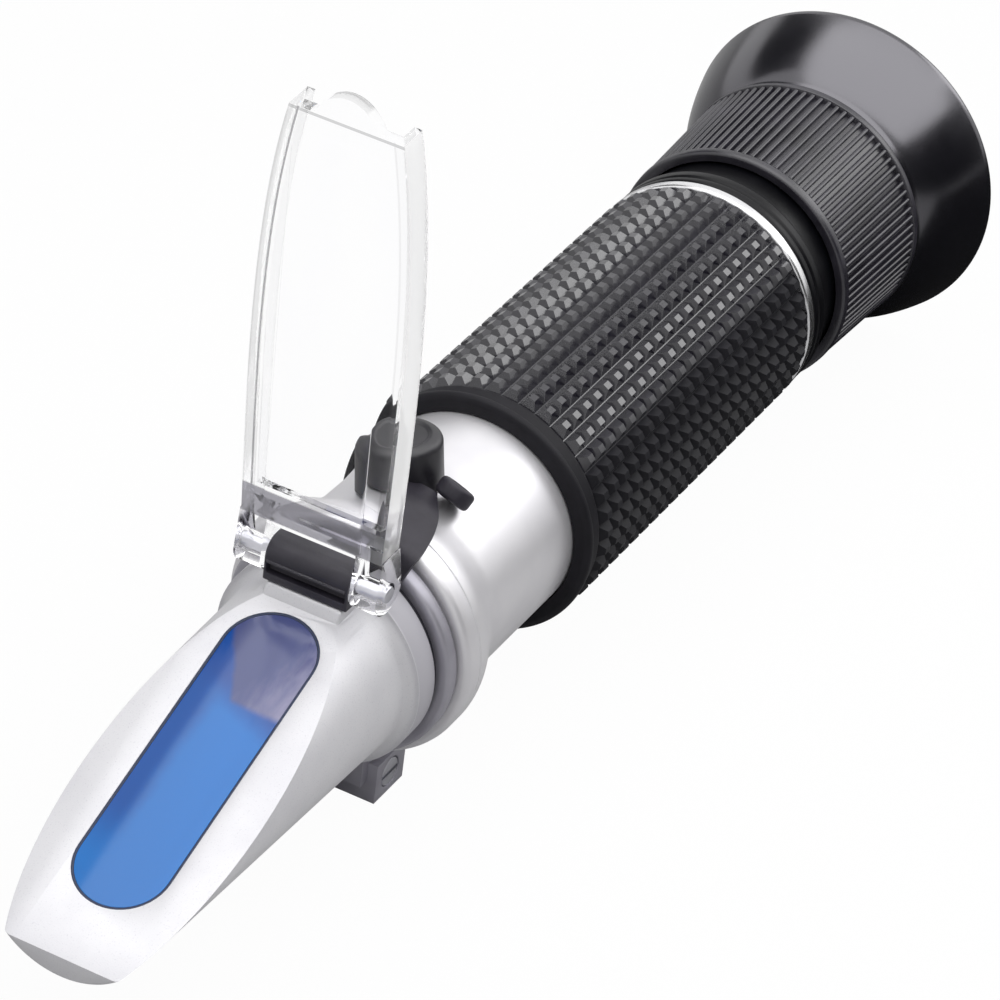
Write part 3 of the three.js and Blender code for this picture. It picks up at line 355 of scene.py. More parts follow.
class Finish(Graph):
    """A material whose patterns are measured in millimetres on the object."""

    def __init__(self, name, **constants):
        self.material = bpy.data.materials.new(name)
        super().__init__(self.material)
        self.shader = self.tree.nodes["Principled BSDF"]
        self.surface(**constants)
        self.place = self.turned_place()

    def surface(self, **inputs):
        """Feeds the plain surface and gives the material."""
        for name, value in inputs.items():
            self.feed(self.shader, name.replace("_", " "), value)
        return self.material

    def mixed_with(self, share, other, plain=None):
        """Puts a mix of the plain surface and another shader on the material."""
        inputs = {0: share, 1: plain or Value(self, self.shader.outputs[0]), 2: other}
        mix = self.node("ShaderNodeMixShader", {}, inputs)
        self.feed(self.tree.nodes["Material Output"], "Surface", mix)
        return self.material

    def turned_place(self, turn=(0, 0, 0), stretch=(1, 1, 1), start=(0, 0, 0)):
        """Places in millimetres from a start on the axis's level, turned and stretched."""
        spot = self.node("ShaderNodeTexCoord", output="Object")
        origin = tuple(MM * a for a in (start[0], start[1], start[2] + AXIS_HEIGHT))
        shifted = self.node("ShaderNodeVectorMath", {"operation": "SUBTRACT"}, {0: spot, 1: origin})
        scale = tuple(share / MM for share in stretch)
        inputs = {"Vector": shifted, "Rotation": turn, "Scale": scale}
        return self.node("ShaderNodeMapping", {"vector_type": "POINT"}, inputs)

    def axes(self, place=None):
        """A place's distances along X, Y and Z."""
        along = self.node("ShaderNodeSeparateXYZ", {}, {"Vector": place or self.place})
        return along, along.beside(1), along.beside(2)

    def noise(self, size, detail=3, roughness=0.5, place=None):
        """Noise whose patches measure about a size in millimetres."""
        place = place or self.place
        inputs = {"Vector": place, "Scale": 1 / size, "Detail": detail, "Roughness": roughness}
        return self.node("ShaderNodeTexNoise", {}, inputs)

    def mix(self, share, first, second):
        """A colour between two, by a share."""
        return self.node("ShaderNodeMix", {"data_type": "RGBA"}, {0: share, 6: first, 7: second}, 2)

    def bump(self, height, depth, strength):
        """Relief of a height from 0 to 1, its depth in millimetres."""
        inputs = {"Height": height, "Distance": depth * MM, "Strength": strength}
        return self.node("ShaderNodeBump", {}, inputs)


def cast_nose():
    """Fine blasted casting with a faint lilac cast, its flange a darker grey and not metallic."""
    f = Finish("nose_metal_blasted")
    grain = f.noise(0.16, 2)
    cloud = f.noise(7, 3)
    along = f.axes()[0]
    flange = along.above(FLANGE - 0.2, FLANGE + 0.3)
    cast = f.mix(cloud.above(0.35, 0.7), (0.73, 0.725, 0.75), (0.685, 0.68, 0.71))
    base = f.mix(flange, cast, (0.48, 0.47, 0.51))
    speck = f.mix(grain.above(0.60, 0.72) * 0.35, base, (0.45, 0.44, 0.50))
    metal, rough = 0.28 - flange * 0.28, 0.40 + grain * 0.14
    return f.surface(Base_Color=speck, Metallic=metal, Roughness=rough, Normal=f.bump(grain, 0.02, 0.5))


def turned_metal(name, light, dark, roughness, metallic=0.6):
    """Turned metal, its fine lines round the tube."""
    f = Finish(name, Metallic=metallic)
    lines = f.noise(1.0, 2, place=f.turned_place(stretch=(14, 0.25, 0.25)))
    cloud = f.noise(6, 2)
    base = f.mix(cloud.above(0.3, 0.75), light, dark)
    rough = roughness + lines * 0.12
    return f.surface(Base_Color=base, Roughness=rough, Normal=f.bump(lines, 0.006, 0.35))


def rubber(name, colour, bloom, roughness, grain_size=0.12, depth=0.015, scuffs=0.25, **constants):
    """Moulded rubber or paint: fine grain, faint bloom and a few lighter scuffs."""
    f = Finish(name, **constants)
    grain = f.noise(grain_size, 2)
    cloud = f.noise(4.5, 4, 0.6)
    scuff = f.noise(1.2, 6, 0.75).above(0.62, 0.72) * scuffs
    base = f.mix(cloud.above(0.35, 0.75) * 0.5 + scuff, colour, bloom)
    rough = roughness + cloud * 0.12 + grain * 0.06
    return f.surface(Base_Color=base, Roughness=rough, Normal=f.bump(grain, depth, 0.4))


def grip_rubber_painted_shade():
    """Rubber of the pyramids: a coat gives sheen on top; towards the lower right it is rougher, and its
    colour is darkened there by painted shade.
    """
    f = Finish("grip_rubber", Specular_IOR_Level=0.25, Coat_Roughness=0.14, Coat_IOR=1.6)
    grain = f.noise(0.1, 2)
    cloud = f.noise(4.5, 4, 0.6)
    _, side, height = f.axes()
    # Mask towards the lower right, away from the lamps: painted shade in the colour, a rougher surface and
    # no coat there
    under = (side * -0.67 - height * 0.74).above(-0.5, 2.5)
    base = f.mix(cloud.above(0.35, 0.75) * 0.5, (0.012, 0.011, 0.017), (0.032, 0.03, 0.042))
    # Painted shade: the colour darkens towards the lower right
    dark = f.mix(under * 0.8, base, (0.004, 0.004, 0.006))
    rough = 0.2 + cloud * 0.1 + grain * 0.05 + under * 0.3
    # The coat lies only away from the lower right, so the upper side has sheen
    upper_coat = (1 - under) * (1 - grain * 0.2)
    return f.surface(Base_Color=dark, Roughness=rough, Coat_Weight=upper_coat, Normal=f.bump(grain, 0.003, 0.4))


def clear_plate():
    """Clear plastic: painted shade across its foot bar, where shaded metal shows through, and painted dark
    lines along the rails' edges, the top and the tab's rim, standing in for what those clear edges refract
    and mirror; milky where one looks into its side rails.

    The rails' long walls are thinned, because inside them the black grip mirrors as dark bands.
    """
    f = Finish("clear_plastic_moulded", Transmission_Weight=1.0, IOR=1.15)
    through, side, height = f.axes(f.turned_place(turn=(0, REST_LEAN, 0), start=PIN))
    facing = f.axes(f.node("ShaderNodeTexCoord", output="Normal"))[1]
    left = side.above(-2, 2)
    front = 1 - through.above(FRONT + 0.02, FRONT + 0.08)
    walls = (1 - front) * (1 - through.above(BACK - 0.08, BACK - 0.02))

    # How far a place lies inside the plate's bowed side, which the same curve draws
    share = (height - FOOT) * (1 / (TOP - FOOT))
    first, second, third, last = BOW
    straight, bend = 3 * (second - first), 3 * (third - 2 * second + first)
    curl = last - first + 3 * (second - third)
    inward = share * (share * (share * curl + bend) + straight) + first - abs(side)

    # Painted dark lines along the rails' outer and inner edges, stronger on the left: they stand in for
    # what the clear edges refract and mirror
    outer = 1 - inward.above(0.15, 0.25)
    inner = inward.above(0.92, 1.0) * (1 - inward.above(1.15, 1.25))
    past_ears = height.above(3, 6)
    lines = (outer * 0.3 + inner) * (left * 0.7 + 0.2) * past_ears
    # Painted shade over the foot bar in two bands, with a clear line left between them
    bar = height.above(FOOT + 0.3, FOOT + 0.5) * (1 - height.above(BAR_TOP + 0.3, BAR_TOP + 0.6))
    unshaded_line = height.between(6.5, 6.7, 0.1) * (1 - side.above(0.5, 2))
    bar_painted_shade = bar - unshaded_line * bar
    # Painted dark lines at the top edge and on the tab's rim walls, which the rim also thins
    top = height.between(TOP - 0.4, TOP - 0.1, 0.05) * front
    rim = height.above(TOP + 0.1, TOP + 0.2) * walls

    flow = f.noise(9, 2, place=f.turned_place(stretch=(1, 1, 0.35)))
    haze = f.noise(0.5, 3).above(0.55, 0.8)
    clear = f.mix(flow.above(0.3, 0.8), (1.0, 1.0, 1.0), (0.985, 0.985, 0.995))
    # The painted dark lines of the edges, top and rim
    drawn = f.mix((lines * front).or_more(top * 0.6 + rim * 0.5), clear, (0.10, 0.10, 0.11))
    # Painted shade of the foot bar, over the painted dark lines
    colour_with_painted_shade = f.mix(bar_painted_shade * (1 - through.above(FRONT + 0.18, FRONT + 0.38)), drawn, (0.11, 0.105, 0.13))
    flank = (facing * facing).above(0.3, 0.5) * height.above(3, 5)
    thin = flank * left + flank * (1 - left) * inward.above(0.5, 0.7)
    f.surface(
        Base_Color=colour_with_painted_shade, Roughness=0.02 + haze * 0.04, Alpha=1 - thin * 0.8 - rim * 0.6,
        Normal=f.bump(flow, 0.05, 0.25),
    )

    rail = (1 - inward.above(1.13, 1.25)) * past_ears
    outside = (1 - left) * (1 - facing.above(-0.9, -0.7)) * (1 - inward.above(0.5, 0.7))
    cloudy = rail * (1 - lines) * (outside * 0.36 + 0.05) + bar_painted_shade * front * 0.22
    milk = f.node("ShaderNodeBsdfDiffuse", {}, {"Color": (1.0, 0.995, 1.0)})
    return f.mixed_with(cloudy, milk)


def blue_prism():
    """Blue glass with painted light and shade: deep at the upper left and along one edge, bright below,
    with the hinge end greyed by a painted reflection.
    """
    f = Finish("prism_glass_blue")
    up_slope = f.turned_place(turn=(0, SLOPE, 0), start=(TIP, 0, -SLOPE_DROP))
    along, side, _ = f.axes(up_slope)
    cloud = f.noise(6, 3, place=up_slope)
    streak = f.noise(1.6, 3, place=f.turned_place(turn=(0.35, SLOPE, 0.5), stretch=(0.5, 1.6, 1)))
    bright, deep = (0.006, 0.18, 0.60), (0.010, 0.08, 0.37)
    # Painted shade: the blue deepens towards the hinge end and along one edge
    body = f.mix((along + cloud * 2 - side * 0.4).above(33, 37), bright, deep)
    edge = f.mix((side + cloud * 1.5).above(2.0, 4.6) * along.above(11, 19) * 0.85, body, deep)
    left = (along - 34) * 0.55 + cloud * 1.6
    # Painted reflection: a grey-violet patch at the hinge end, lighter in streaks
    patch = (along - cloud * 1.2).above(32.8, 33.8) * (1 - (side - left).above(-0.9, -0.1))
    light = (((44 - along) * 0.35 - side) * 0.13 + streak * 0.6 - 0.6).above(0.0, 1.0)
    painted_reflection = f.mix(light, (0.09, 0.10, 0.24), (0.33, 0.31, 0.45))
    return f.surface(Base_Color=f.mix(patch * 0.9, edge, painted_reflection), Roughness=0.10 + f.noise(0.3, 2) * 0.06)


def sealant():
    f = Finish("window_sealant")
    lump = f.noise(0.7, 3)
    base = f.mix(lump, (0.012, 0.02, 0.05), (0.035, 0.05, 0.11))
    return f.surface(Base_Color=base, Roughness=0.45 + lump * 0.25, Normal=f.bump(lump, 0.05, 0.5))


def lens_glass():
    """Clear glass with a faint coating."""
    f = Finish("lens_glass_coated", Transmission_Weight=1.0, IOR=1.52)
    bloom = f.noise(8, 2)
    base = f.mix(bloom, (0.80, 0.78, 0.95), (0.86, 0.92, 0.95))
    return f.surface(Base_Color=base, Roughness=0.015 + bloom * 0.02)


nose_metal = cast_nose()
tube_metal = turned_metal("tube_metal_satin", (0.80, 0.79, 0.815), (0.75, 0.74, 0.77), 0.36)
collar_grey = turned_metal("collar_metal_grey", (0.44, 0.43, 0.48), (0.34, 0.33, 0.38), 0.34)
trim_bright = turned_metal("trim_metal_bright", (0.84, 0.84, 0.85), (0.78, 0.78, 0.80), 0.2, 1.0)
small_steel = turned_metal("steel_pins", (0.66, 0.66, 0.70), (0.52, 0.52, 0.56), 0.28, 1.0)
frame_brass = turned_metal("brass_inner", (0.72, 0.55, 0.30), (0.60, 0.44, 0.22), 0.34, 1.0)
inner_black = rubber("inner_metal_black", (0.012, 0.012, 0.014), (0.03, 0.03, 0.035), 0.45)
hinge_black = rubber("hinge_block_black", (0.020, 0.018, 0.027), (0.05, 0.045, 0.06), 0.36)
strap_rubber = rubber(
    "strap_rubber", (0.016, 0.014, 0.021), (0.05, 0.046, 0.06), 0.4, Specular_IOR_Level=0.35,
)
cap_rubber = rubber(
    "cap_rubber", (0.006, 0.0055, 0.009), (0.02, 0.018, 0.025), 0.36, Specular_IOR_Level=0.7,
)
grip_rubber = grip_rubber_painted_shade()
grip_edge = rubber(
    "grip_collar_rubber", (0.004, 0.0036, 0.006), (0.012, 0.011, 0.016), 0.5, Specular_IOR_Level=0.25,
)
collar_black = rubber(
    "collar_black_satin", (0.002, 0.002, 0.003), (0.006, 0.006, 0.008), 0.25, Specular_IOR_Level=0.2,
)
focus_black = rubber(
    "focus_ring_black", (0.012, 0.011, 0.017), (0.05, 0.046, 0.062), 0.24, 0.08, Specular_IOR_Level=0.8,
)
eyecup_rubber = rubber(
    "eyecup_gloss", (0.003, 0.003, 0.005), (0.006, 0.006, 0.009), 0.12, 0.3, 0.003, 0.05,
    IOR=2.1, Specular_Tint=(0.95, 0.93, 1.0),
)
prism_glass = blue_prism()
seal_black = sealant()
clear_plastic = clear_plate()
lens_clear = lens_glass()


# Nose with its window, prism and hinge block

TIP_RADIUS, FLANGE_RADIUS, SPIGOT_RADIUS, SPIGOT_END = 9.85, 12.3, 10.9, -29.0
PAD_TOP, PAD_HALF = 11.2, 4.6
BLOCK_TOP, BLOCK_HALF = 16.0, span("hinge_block", "Y")[1]
TENON_FRONT, TENON_BACK, TENON_HALF = -42.4, -40.0, 3.0
FIT = 0.15


def stadium(inset, steps=24):
    """Corners of the window's outline, drawn in by an inset."""
    half = WINDOW_HALF - inset
    points = []
    for centre, start in ((WINDOW_END - WINDOW_HALF, -90), (WINDOW_START + WINDOW_HALF, 90)):
        for i in range(steps + 1):
            angle = math.radians(start + 180 * i / steps)
            points.append((centre + half * math.cos(angle), half * math.sin(angle)))
    return points


def on_slope(mesh, lift=0.0):
    """A body drawn flat, laid on the nose's slope."""
    slope = Matrix.Translation((TIP, 0, -SLOPE_DROP)) @ Matrix.Rotation(-SLOPE, 4, "Y")
    return placed(mesh, slope @ Matrix.Translation((0, 0, lift)))


def cut_by_slope(mesh, depth):
    """A body without what stands above a depth under the slope."""
    normal = Vector((-math.sin(SLOPE), 0, math.cos(SLOPE)))
    spot = Vector((TIP, 0, -SLOPE_DROP)) - normal * depth
    geometry = mesh.verts[:] + mesh.edges[:] + mesh.faces[:]
    bmesh.ops.bisect_plane(mesh, geom=geometry, dist=1e-5, plane_co=spot, plane_no=normal, clear_outer=True)
    bmesh.ops.holes_fill(mesh, edges=[edge for edge in mesh.edges if edge.is_boundary], sides=0)
    return cleaned(mesh)


def cavity(clearance, depth):
    """The nose's hollow, and with a clearance what fills it."""
    start, end = TIP + 1.8 + clearance, SPIGOT_END + 1
    front, radius = 8.25 - clearance, 9.4 - clearance
    hollow = turned([(start, 0), (start, front, 0.6), (FLANGE, radius), (end, radius), (end, 0)])
    return cut_by_slope(hollow, depth)


def nose():
    """A turned cone and flange cut by the slope, hollow, with the window, pad and mortise."""
    fillet, pad_start, pad_floor = 1.3, BLOCK_FRONT - 0.8, 7
    angles = [math.radians(angle) for angle in range(10, 90, 10)]
    outside = turned([
        (TIP, 0), (TIP, TIP_RADIUS, 0.35), (FLANGE - fillet, 10.97), (FLANGE - 1.2, 10.98),
        *[(FLANGE - fillet + fillet * math.sin(a), FLANGE_RADIUS - fillet * math.cos(a)) for a in angles],
        (FLANGE, FLANGE_RADIUS), (FLANGE_END, FLANGE_RADIUS, 0.25),
        (FLANGE_END, SPIGOT_RADIUS), (SPIGOT_END, SPIGOT_RADIUS, 0.2), (SPIGOT_END, 0),
    ])
    pad = across([
        (pad_start, pad_floor), (pad_start, 9.85), (BLOCK_FRONT, PAD_TOP, 0.4),
        (FLANGE + 1, PAD_TOP), (FLANGE + 1, pad_floor),
    ], PAD_HALF)
    softened(pad, 0.4, 30, 3)
    mortise = block(
        (TENON_FRONT - FIT, -TENON_HALF - FIT, 9.2), (TENON_BACK + FIT, TENON_HALF + FIT, PAD_TOP + 0.8),
    )
    room = block(
        (BLOCK_FRONT - 0.4, -BLOCK_HALF - FIT, PAD_TOP), (FLANGE - FIT, BLOCK_HALF + FIT, BLOCK_TOP),
    )
    body = combined(
        cut_by_slope(outside, 0),
        ("UNION", pad),
        ("DIFFERENCE", cavity(0, 1.5)),
        ("DIFFERENCE", on_slope(pressed(stadium(0), 4), -2.5)),
        ("DIFFERENCE", mortise),
        ("DIFFERENCE", room),
    )
    return softened(body, 0.1)


def seal():
    """A low crowned bead round the window's edge, down to the prism's shoulder."""
    mesh = bmesh.new()
    loops = []
    for inset, height in ((0.02, -1.5), (0.02, -0.06), (0.15, -0.02), (0.28, -0.06), (0.28, -1.5)):
        ring = [mesh.verts.new((x, y, height)) for x, y in stadium(inset)]
        loops.append([mesh.edges.new((a, b)) for a, b in zip(ring, ring[1:] + ring[:1])])
    for first, second in zip(loops, loops[1:] + loops[:1]):
        bmesh.ops.bridge_loops(mesh, edges=first + second)
    return on_slope(cleaned(mesh))


def prism():
    """A wedge that fits the nose's hollow, with a top that stands in the window."""
    front, back, low, high, depth = -84.6, -44.8, -6.6, 9.8, 2.6
    wedge = across([(front, low), (back, low), (back, high), (front, high)], 6)
    top = softened(on_slope(pressed(stadium(0.3), depth - 0.05), -depth), 0.08)
    return combined(wedge, ("INTERSECT", cavity(0.3, 1.65)), ("UNION", top))


def hinge_block():
    """The block with a slot across its front and a lip over the slot, on its tenon."""
    slot_back, slot_half, slot_low, slot_top, lip = -42.6, 4.7, 12.2, 13.55, 0.25
    side = across([
        (BLOCK_FRONT, PAD_TOP, 0.25), (BLOCK_BACK, PAD_TOP, 0.25),
        (BLOCK_BACK, BLOCK_TOP, 0.8), (BLOCK_FRONT, BLOCK_TOP, 2.0),
    ], BLOCK_HALF, 8)
    body = combined(
        side,
        ("UNION", block((TENON_FRONT, -TENON_HALF, 9.5), (TENON_BACK, TENON_HALF, PAD_TOP + 0.5))),
        ("UNION", block((BLOCK_FRONT - lip, -slot_half, slot_top), (slot_back, slot_half, slot_top + lip))),
        ("DIFFERENCE", block((BLOCK_FRONT - 1, -slot_half, slot_low), (slot_back, slot_half, slot_top))),
        ("DIFFERENCE", rod(1.15, (PIN.x, -6, PIN.z), (PIN.x, 6, PIN.z))),
    )
    return softened(body, 0.14)


def hinge_pin():
    half, radius = 8.7, 0.95
    mesh = turned([(-half, 0), (-half, radius, 0.2), (half, radius, 0.2), (half, 0)], 40)
    return placed(mesh, Matrix.Translation(PIN) @ Matrix.Rotation(QUARTER, 4, "Z"))


new_piece("nose_shell", nose(), nose_metal, "barrel", "nose_housing")
new_piece("window_sealant_ring", seal(), seal_black, "barrel", "window_seal")
new_piece("blue_prism", prism(), prism_glass, "barrel", "main_prism")
new_piece("hinge_body", hinge_block(), hinge_black, "barrel", "hinge_block")
new_piece("hinge_rod", hinge_pin(), small_steel, "barrel", "hinge_pin")


# Clear cover: drawn in Y and Z of the plate's own frame


def upright_plate(points, x0, x1, steps=4):
    """An outline in Y and Z given thickness from x0 to x1."""
    turn = Matrix(((0, 0, 1, x0), (1, 0, 0, 0), (0, 1, 0, 0), (0, 0, 0, 1)))
    return placed(pressed(points, x1 - x0, steps), turn)


def bowed_plate(inset, bottom, top, x0, x1):
    """The plate's bowed outline drawn in by an inset, given thickness from x0 to x1."""
    halves = [half - inset for half in BOW]
    side = curve(list(zip(halves, (bottom, *BOW_LEVELS, top))), 28)
    return upright_plate(side + [(-y, z) for y, z in reversed(side)], x0, x1)


def thumb_tab():
    """The tab's outline, a low crown on a straight foot."""
    half, rise, foot = 3.8, 3.73, TOP - 1.5
    crown = curve([(half, TOP), (half / 2, TOP + rise), (-half / 2, TOP + rise), (-half, TOP)], 16)
    return [(-half, foot), (half, foot), (half, TOP, 0.4), *crown[1:-1], (-half, TOP, 0.4)]


def ear_outline():
    """An ear's outline from the side: straight up to the plate, and an oval round the pin."""
    top, wide, deep = 5.0, 2.7, 2.3
    angles = [math.radians(180 + 5 * i) for i in range(37)]
    return [(RAIL_BACK, top), (FRONT, top), *[(wide * math.cos(a), deep * math.sin(a)) for a in angles]]


def cover():
    """A tray with bowed rails, a foot bar, a thumb tab, a sample pad and two ears on the pin."""
    bar_half, pad_half, pad_foot, pad_top = 7.95, 5.8, 5.0, 53.0
    pad = [
        (-pad_half, pad_foot, 0.5), (pad_half, pad_foot, 0.5),
        (pad_half, pad_top, 3.0), (-pad_half, pad_top, 3.0),
    ]
    steps = [
        ("DIFFERENCE", bowed_plate(RAIL, FOOT - 1, TOP + 1, BACK, 4)),
        ("UNION", block((FRONT, -bar_half, FOOT), (FRONT + 2.5, bar_half, BAR_TOP))),
        ("UNION", upright_plate(thumb_tab(), FRONT, BACK)),
        ("UNION", upright_plate(pad, FACE, FRONT + 0.75, 8)),
    ]
    steps += [("UNION", across(ear_outline(), 1.6, centre=side * 6.9)) for side in (-1, 1)]
    steps.append(("DIFFERENCE", rod(1.3, (0, -12, 0), (0, 12, 0))))
    mesh = softened(combined(bowed_plate(0, FOOT, TOP, FRONT, RAIL_BACK), *steps), 0.05, 35)
    return placed(mesh, Matrix.Translation(PIN) @ Matrix.Rotation(-REST_LEAN, 4, "Y"))


new_piece("clear_cover", cover(), clear_plastic, "cover", "cover_plate")


# Neck: band with its strap, clamp collar with its foot, and the tube's bell and flare

STRAP_START, STRAP_END, STRAP_LIFT, STRAP_THICK = BAND - 1.1, -22.1, 0.3, 1.5
STRAP_WIDEST = STRAP_START + (STRAP_END - STRAP_START) * 0.45
CLAMP_X, CLAMP_Z = middle("clamp_screw", "X"), middle("clamp_screw", "Z") - AXIS_HEIGHT
CLAMP_HALF = span("clamp_screw", "Y")[1]
FLARE_STATIONS = [FLARE + (TUBE - FLARE) * i / 24 for i in range(25)]


def flare_radius(x):
    """The tube's outside, which falls from the bell to the tube in half a wave."""
    share = min(max((x - FLARE) / (TUBE - FLARE), 0.0), 1.0)
    return TUBE_RADIUS + (BELL_RADIUS - TUBE_RADIUS) * (1 + math.cos(math.pi * share)) / 2


def around_tube(turn, x):
    """A place along the tube, turned round it."""
    return Matrix.Translation((x, 0, 0)) @ Matrix.Rotation(-turn, 4, "X")


def strap_half(x):
    """Half the strap's width, which is a leaf."""
    if x < STRAP_WIDEST:
        return 1.6 + 1.3 * math.sin(QUARTER * (x - STRAP_START) / (STRAP_WIDEST - STRAP_START))
    return 1.2 + 1.7 * math.cos(QUARTER * (x - STRAP_WIDEST) / (STRAP_END + 1 - STRAP_WIDEST))


def neck_band():
    """The strap from the band's groove over the bell and down the flare, twisted round the tube."""
    stations = [x for x in FLARE_STATIONS if x < STRAP_END] + [STRAP_END]
    under = [(x, flare_radius(x) + STRAP_LIFT) for x in stations]
    over = [(x, z + STRAP_THICK) for x, z in reversed(under)]
    level = BELL_RADIUS + STRAP_LIFT
    side = across([
        (BAND + 1.1, BORE), (BAND + 1.1, level), *under, *over,
        (BAND, level + STRAP_THICK, 1.2), (BAND, BORE),
    ], 6, 8)
    marks = [STRAP_START + (STRAP_END + 1 - STRAP_START) * i / 32 for i in range(33)]
    leaf = [(x, -strap_half(x)) for x in marks] + [(x, strap_half(x)) for x in reversed(marks)]
    strap = combined(side, ("INTERSECT", placed(pressed(leaf, 30), Matrix.Translation((0, 0, 0.5)))))
    softened(strap, 0.3, 40, 3)
    for vert in strap.verts:
        share = (vert.co.x - BAND) / (STRAP_END - BAND)
        vert.co = Matrix.Rotation(math.radians(23 - 14.5 * share), 3, "X") @ vert.co
    return strap


def band_ring():
    """The band's plain ring in the groove behind the nose."""
    low, high, width = 11.0, 12.0, 1.0
    return turned([(BAND, low), (BAND, high, 0.25), (BAND + width, high, 0.25), (BAND + width, low)])


def pull_ring():
    """The round end of the strap, a closed knob that leans back from the tube."""
    knob = turned([(-1, 0), (-1, 2.1, 0.5), (1, 2.1, 0.5), (1, 1.0, 0.3), (-0.1, 0.8), (-0.1, 0)], 56)
    tilted = placed(knob, Matrix.Rotation(math.radians(-52), 4, "Y"))
    on_tube = around_tube(math.radians(-20), STRAP_END + 1.45)
    return placed(tilted, on_tube @ Matrix.Translation((0, 0, 14.4)))


def clamp_collar():
    """A split collar with a neck and a square foot lug, bored for the clamp screw."""
    front, radius, bottom = COLLAR - 0.3, 13.5, -AXIS_HEIGHT
    ring = turned([
        (front, BORE), (front, radius, 0.5), (COLLAR_END - 0.2, radius, 0.15), (COLLAR_END - 0.2, BORE),
    ])
    mesh = combined(
        ring,
        ("UNION", block((COLLAR, -4.6, CLAMP_Z), (COLLAR_END, 4.6, -11.5))),
        ("UNION", block((COLLAR + 1.3, -CLAMP_HALF, bottom), (FOOT_END, CLAMP_HALF, -15))),
        ("DIFFERENCE", rod(BORE, (-40, 0, 0), (-20, 0, 0), FINE)),
        ("DIFFERENCE", block((-36, -0.4, bottom - 1), (-25, 0.4, -9.9))),
        ("DIFFERENCE", rod(1.15, (CLAMP_X, -8, CLAMP_Z), (CLAMP_X, 8, CLAMP_Z))),
        ("DIFFERENCE", rod(1.85, (CLAMP_X, -8, CLAMP_Z), (CLAMP_X, -4.45, CLAMP_Z))),
    )
    return softened(mesh, 0.18)


def clamp_screw():
    """A round head with a straight slot on its shank."""
    return combined(
        softened(rod(1.7, (CLAMP_X, -CLAMP_HALF, CLAMP_Z), (CLAMP_X, -4.6, CLAMP_Z)), 0.18),
        ("UNION", rod(1.0, (CLAMP_X, -5.2, CLAMP_Z), (CLAMP_X, CLAMP_HALF, CLAMP_Z))),
        ("DIFFERENCE", block((-32, -6.5, CLAMP_Z - 0.25), (-28, -5.2, CLAMP_Z + 0.25))),
    )


def tube_shell():
    """Bell with a scribed line, flare and tube, with the boss of the calibration screw."""
    boss = around_tube(CALIBRATION_TURN, CALIBRATION)
    line, groove = FLARE - 0.5, BELL_RADIUS - 0.12
    stop_front, stop_back, stop = -11.6, -10.2, 8.0
    shell = turned([
        (BELL, BORE), (BELL, BELL_RADIUS, 0.8), (line, BELL_RADIUS), (line + 0.1, groove),
        (line + 0.25, groove), (line + 0.35, BELL_RADIUS),
        *[(x, flare_radius(x)) for x in FLARE_STATIONS], (TUBE_END, TUBE_RADIUS), (TUBE_END, BORE),
        (stop_back, BORE), (stop_back, stop), (stop_front, stop), (stop_front, BORE),
    ])
    return combined(
        shell,
        ("UNION", placed(rod(2.9, (0, 0, 11.8), (0, 0, 13.7)), boss)),
        ("DIFFERENCE", placed(rod(1.75, (0, 0, 9.2), (0, 0, 15)), boss)),
    )


def calibration_cap():
    """A round cap with a dished top, hollow over the boss, its foot cut to the tube and its flare."""
    radius, foot, top, dish = 4.3, 11.2, 17.7, 17.5
    cap = turned([
        (foot, 0), (foot, radius), (top - 1.1, radius), (top - 0.55, radius, 0.4),
        (top, radius - 0.7, 0.4), (top, 3.0, 0.15), (dish, 2.7, 0.15), (dish, 0),
    ], 96)
    cap = placed(cap, Matrix.Rotation(-QUARTER, 4, "Y"))
    tube = turned([
        (FLARE - CALIBRATION, 0), *[(x - CALIBRATION, flare_radius(x) + 0.3) for x in FLARE_STATIONS],
        (6, TUBE_RADIUS + 0.3), (6, 0),
    ])
    mesh = combined(cap, ("DIFFERENCE", tube), ("DIFFERENCE", rod(3.2, (0, 0, 10), (0, 0, top - 2))))
    return placed(mesh, around_tube(CALIBRATION_TURN, CALIBRATION))


new_piece("neck_strap", neck_band(), strap_rubber, "barrel", "neck_band")
new_piece("neck_band_ring", band_ring(), strap_rubber, "barrel", "neck_band")
new_piece("strap_pull_ring", pull_ring(), strap_rubber, "barrel", "neck_band")
new_piece("clamp_ring", clamp_collar(), collar_grey, "barrel", "clamp_collar")
new_piece("clamp_cross_screw", clamp_screw(), small_steel, "barrel", "clamp_screw")
new_piece("silver_tube", tube_shell(), tube_metal, "barrel", "body_tube")
new_piece("screw_cap", calibration_cap(), cap_rubber, "cap", "calibration_cap")


# Grip, rear rings, focus ring and eyecup

GRIP_COLUMNS, GRIP_ROWS, RIBS = 40, 21, 88


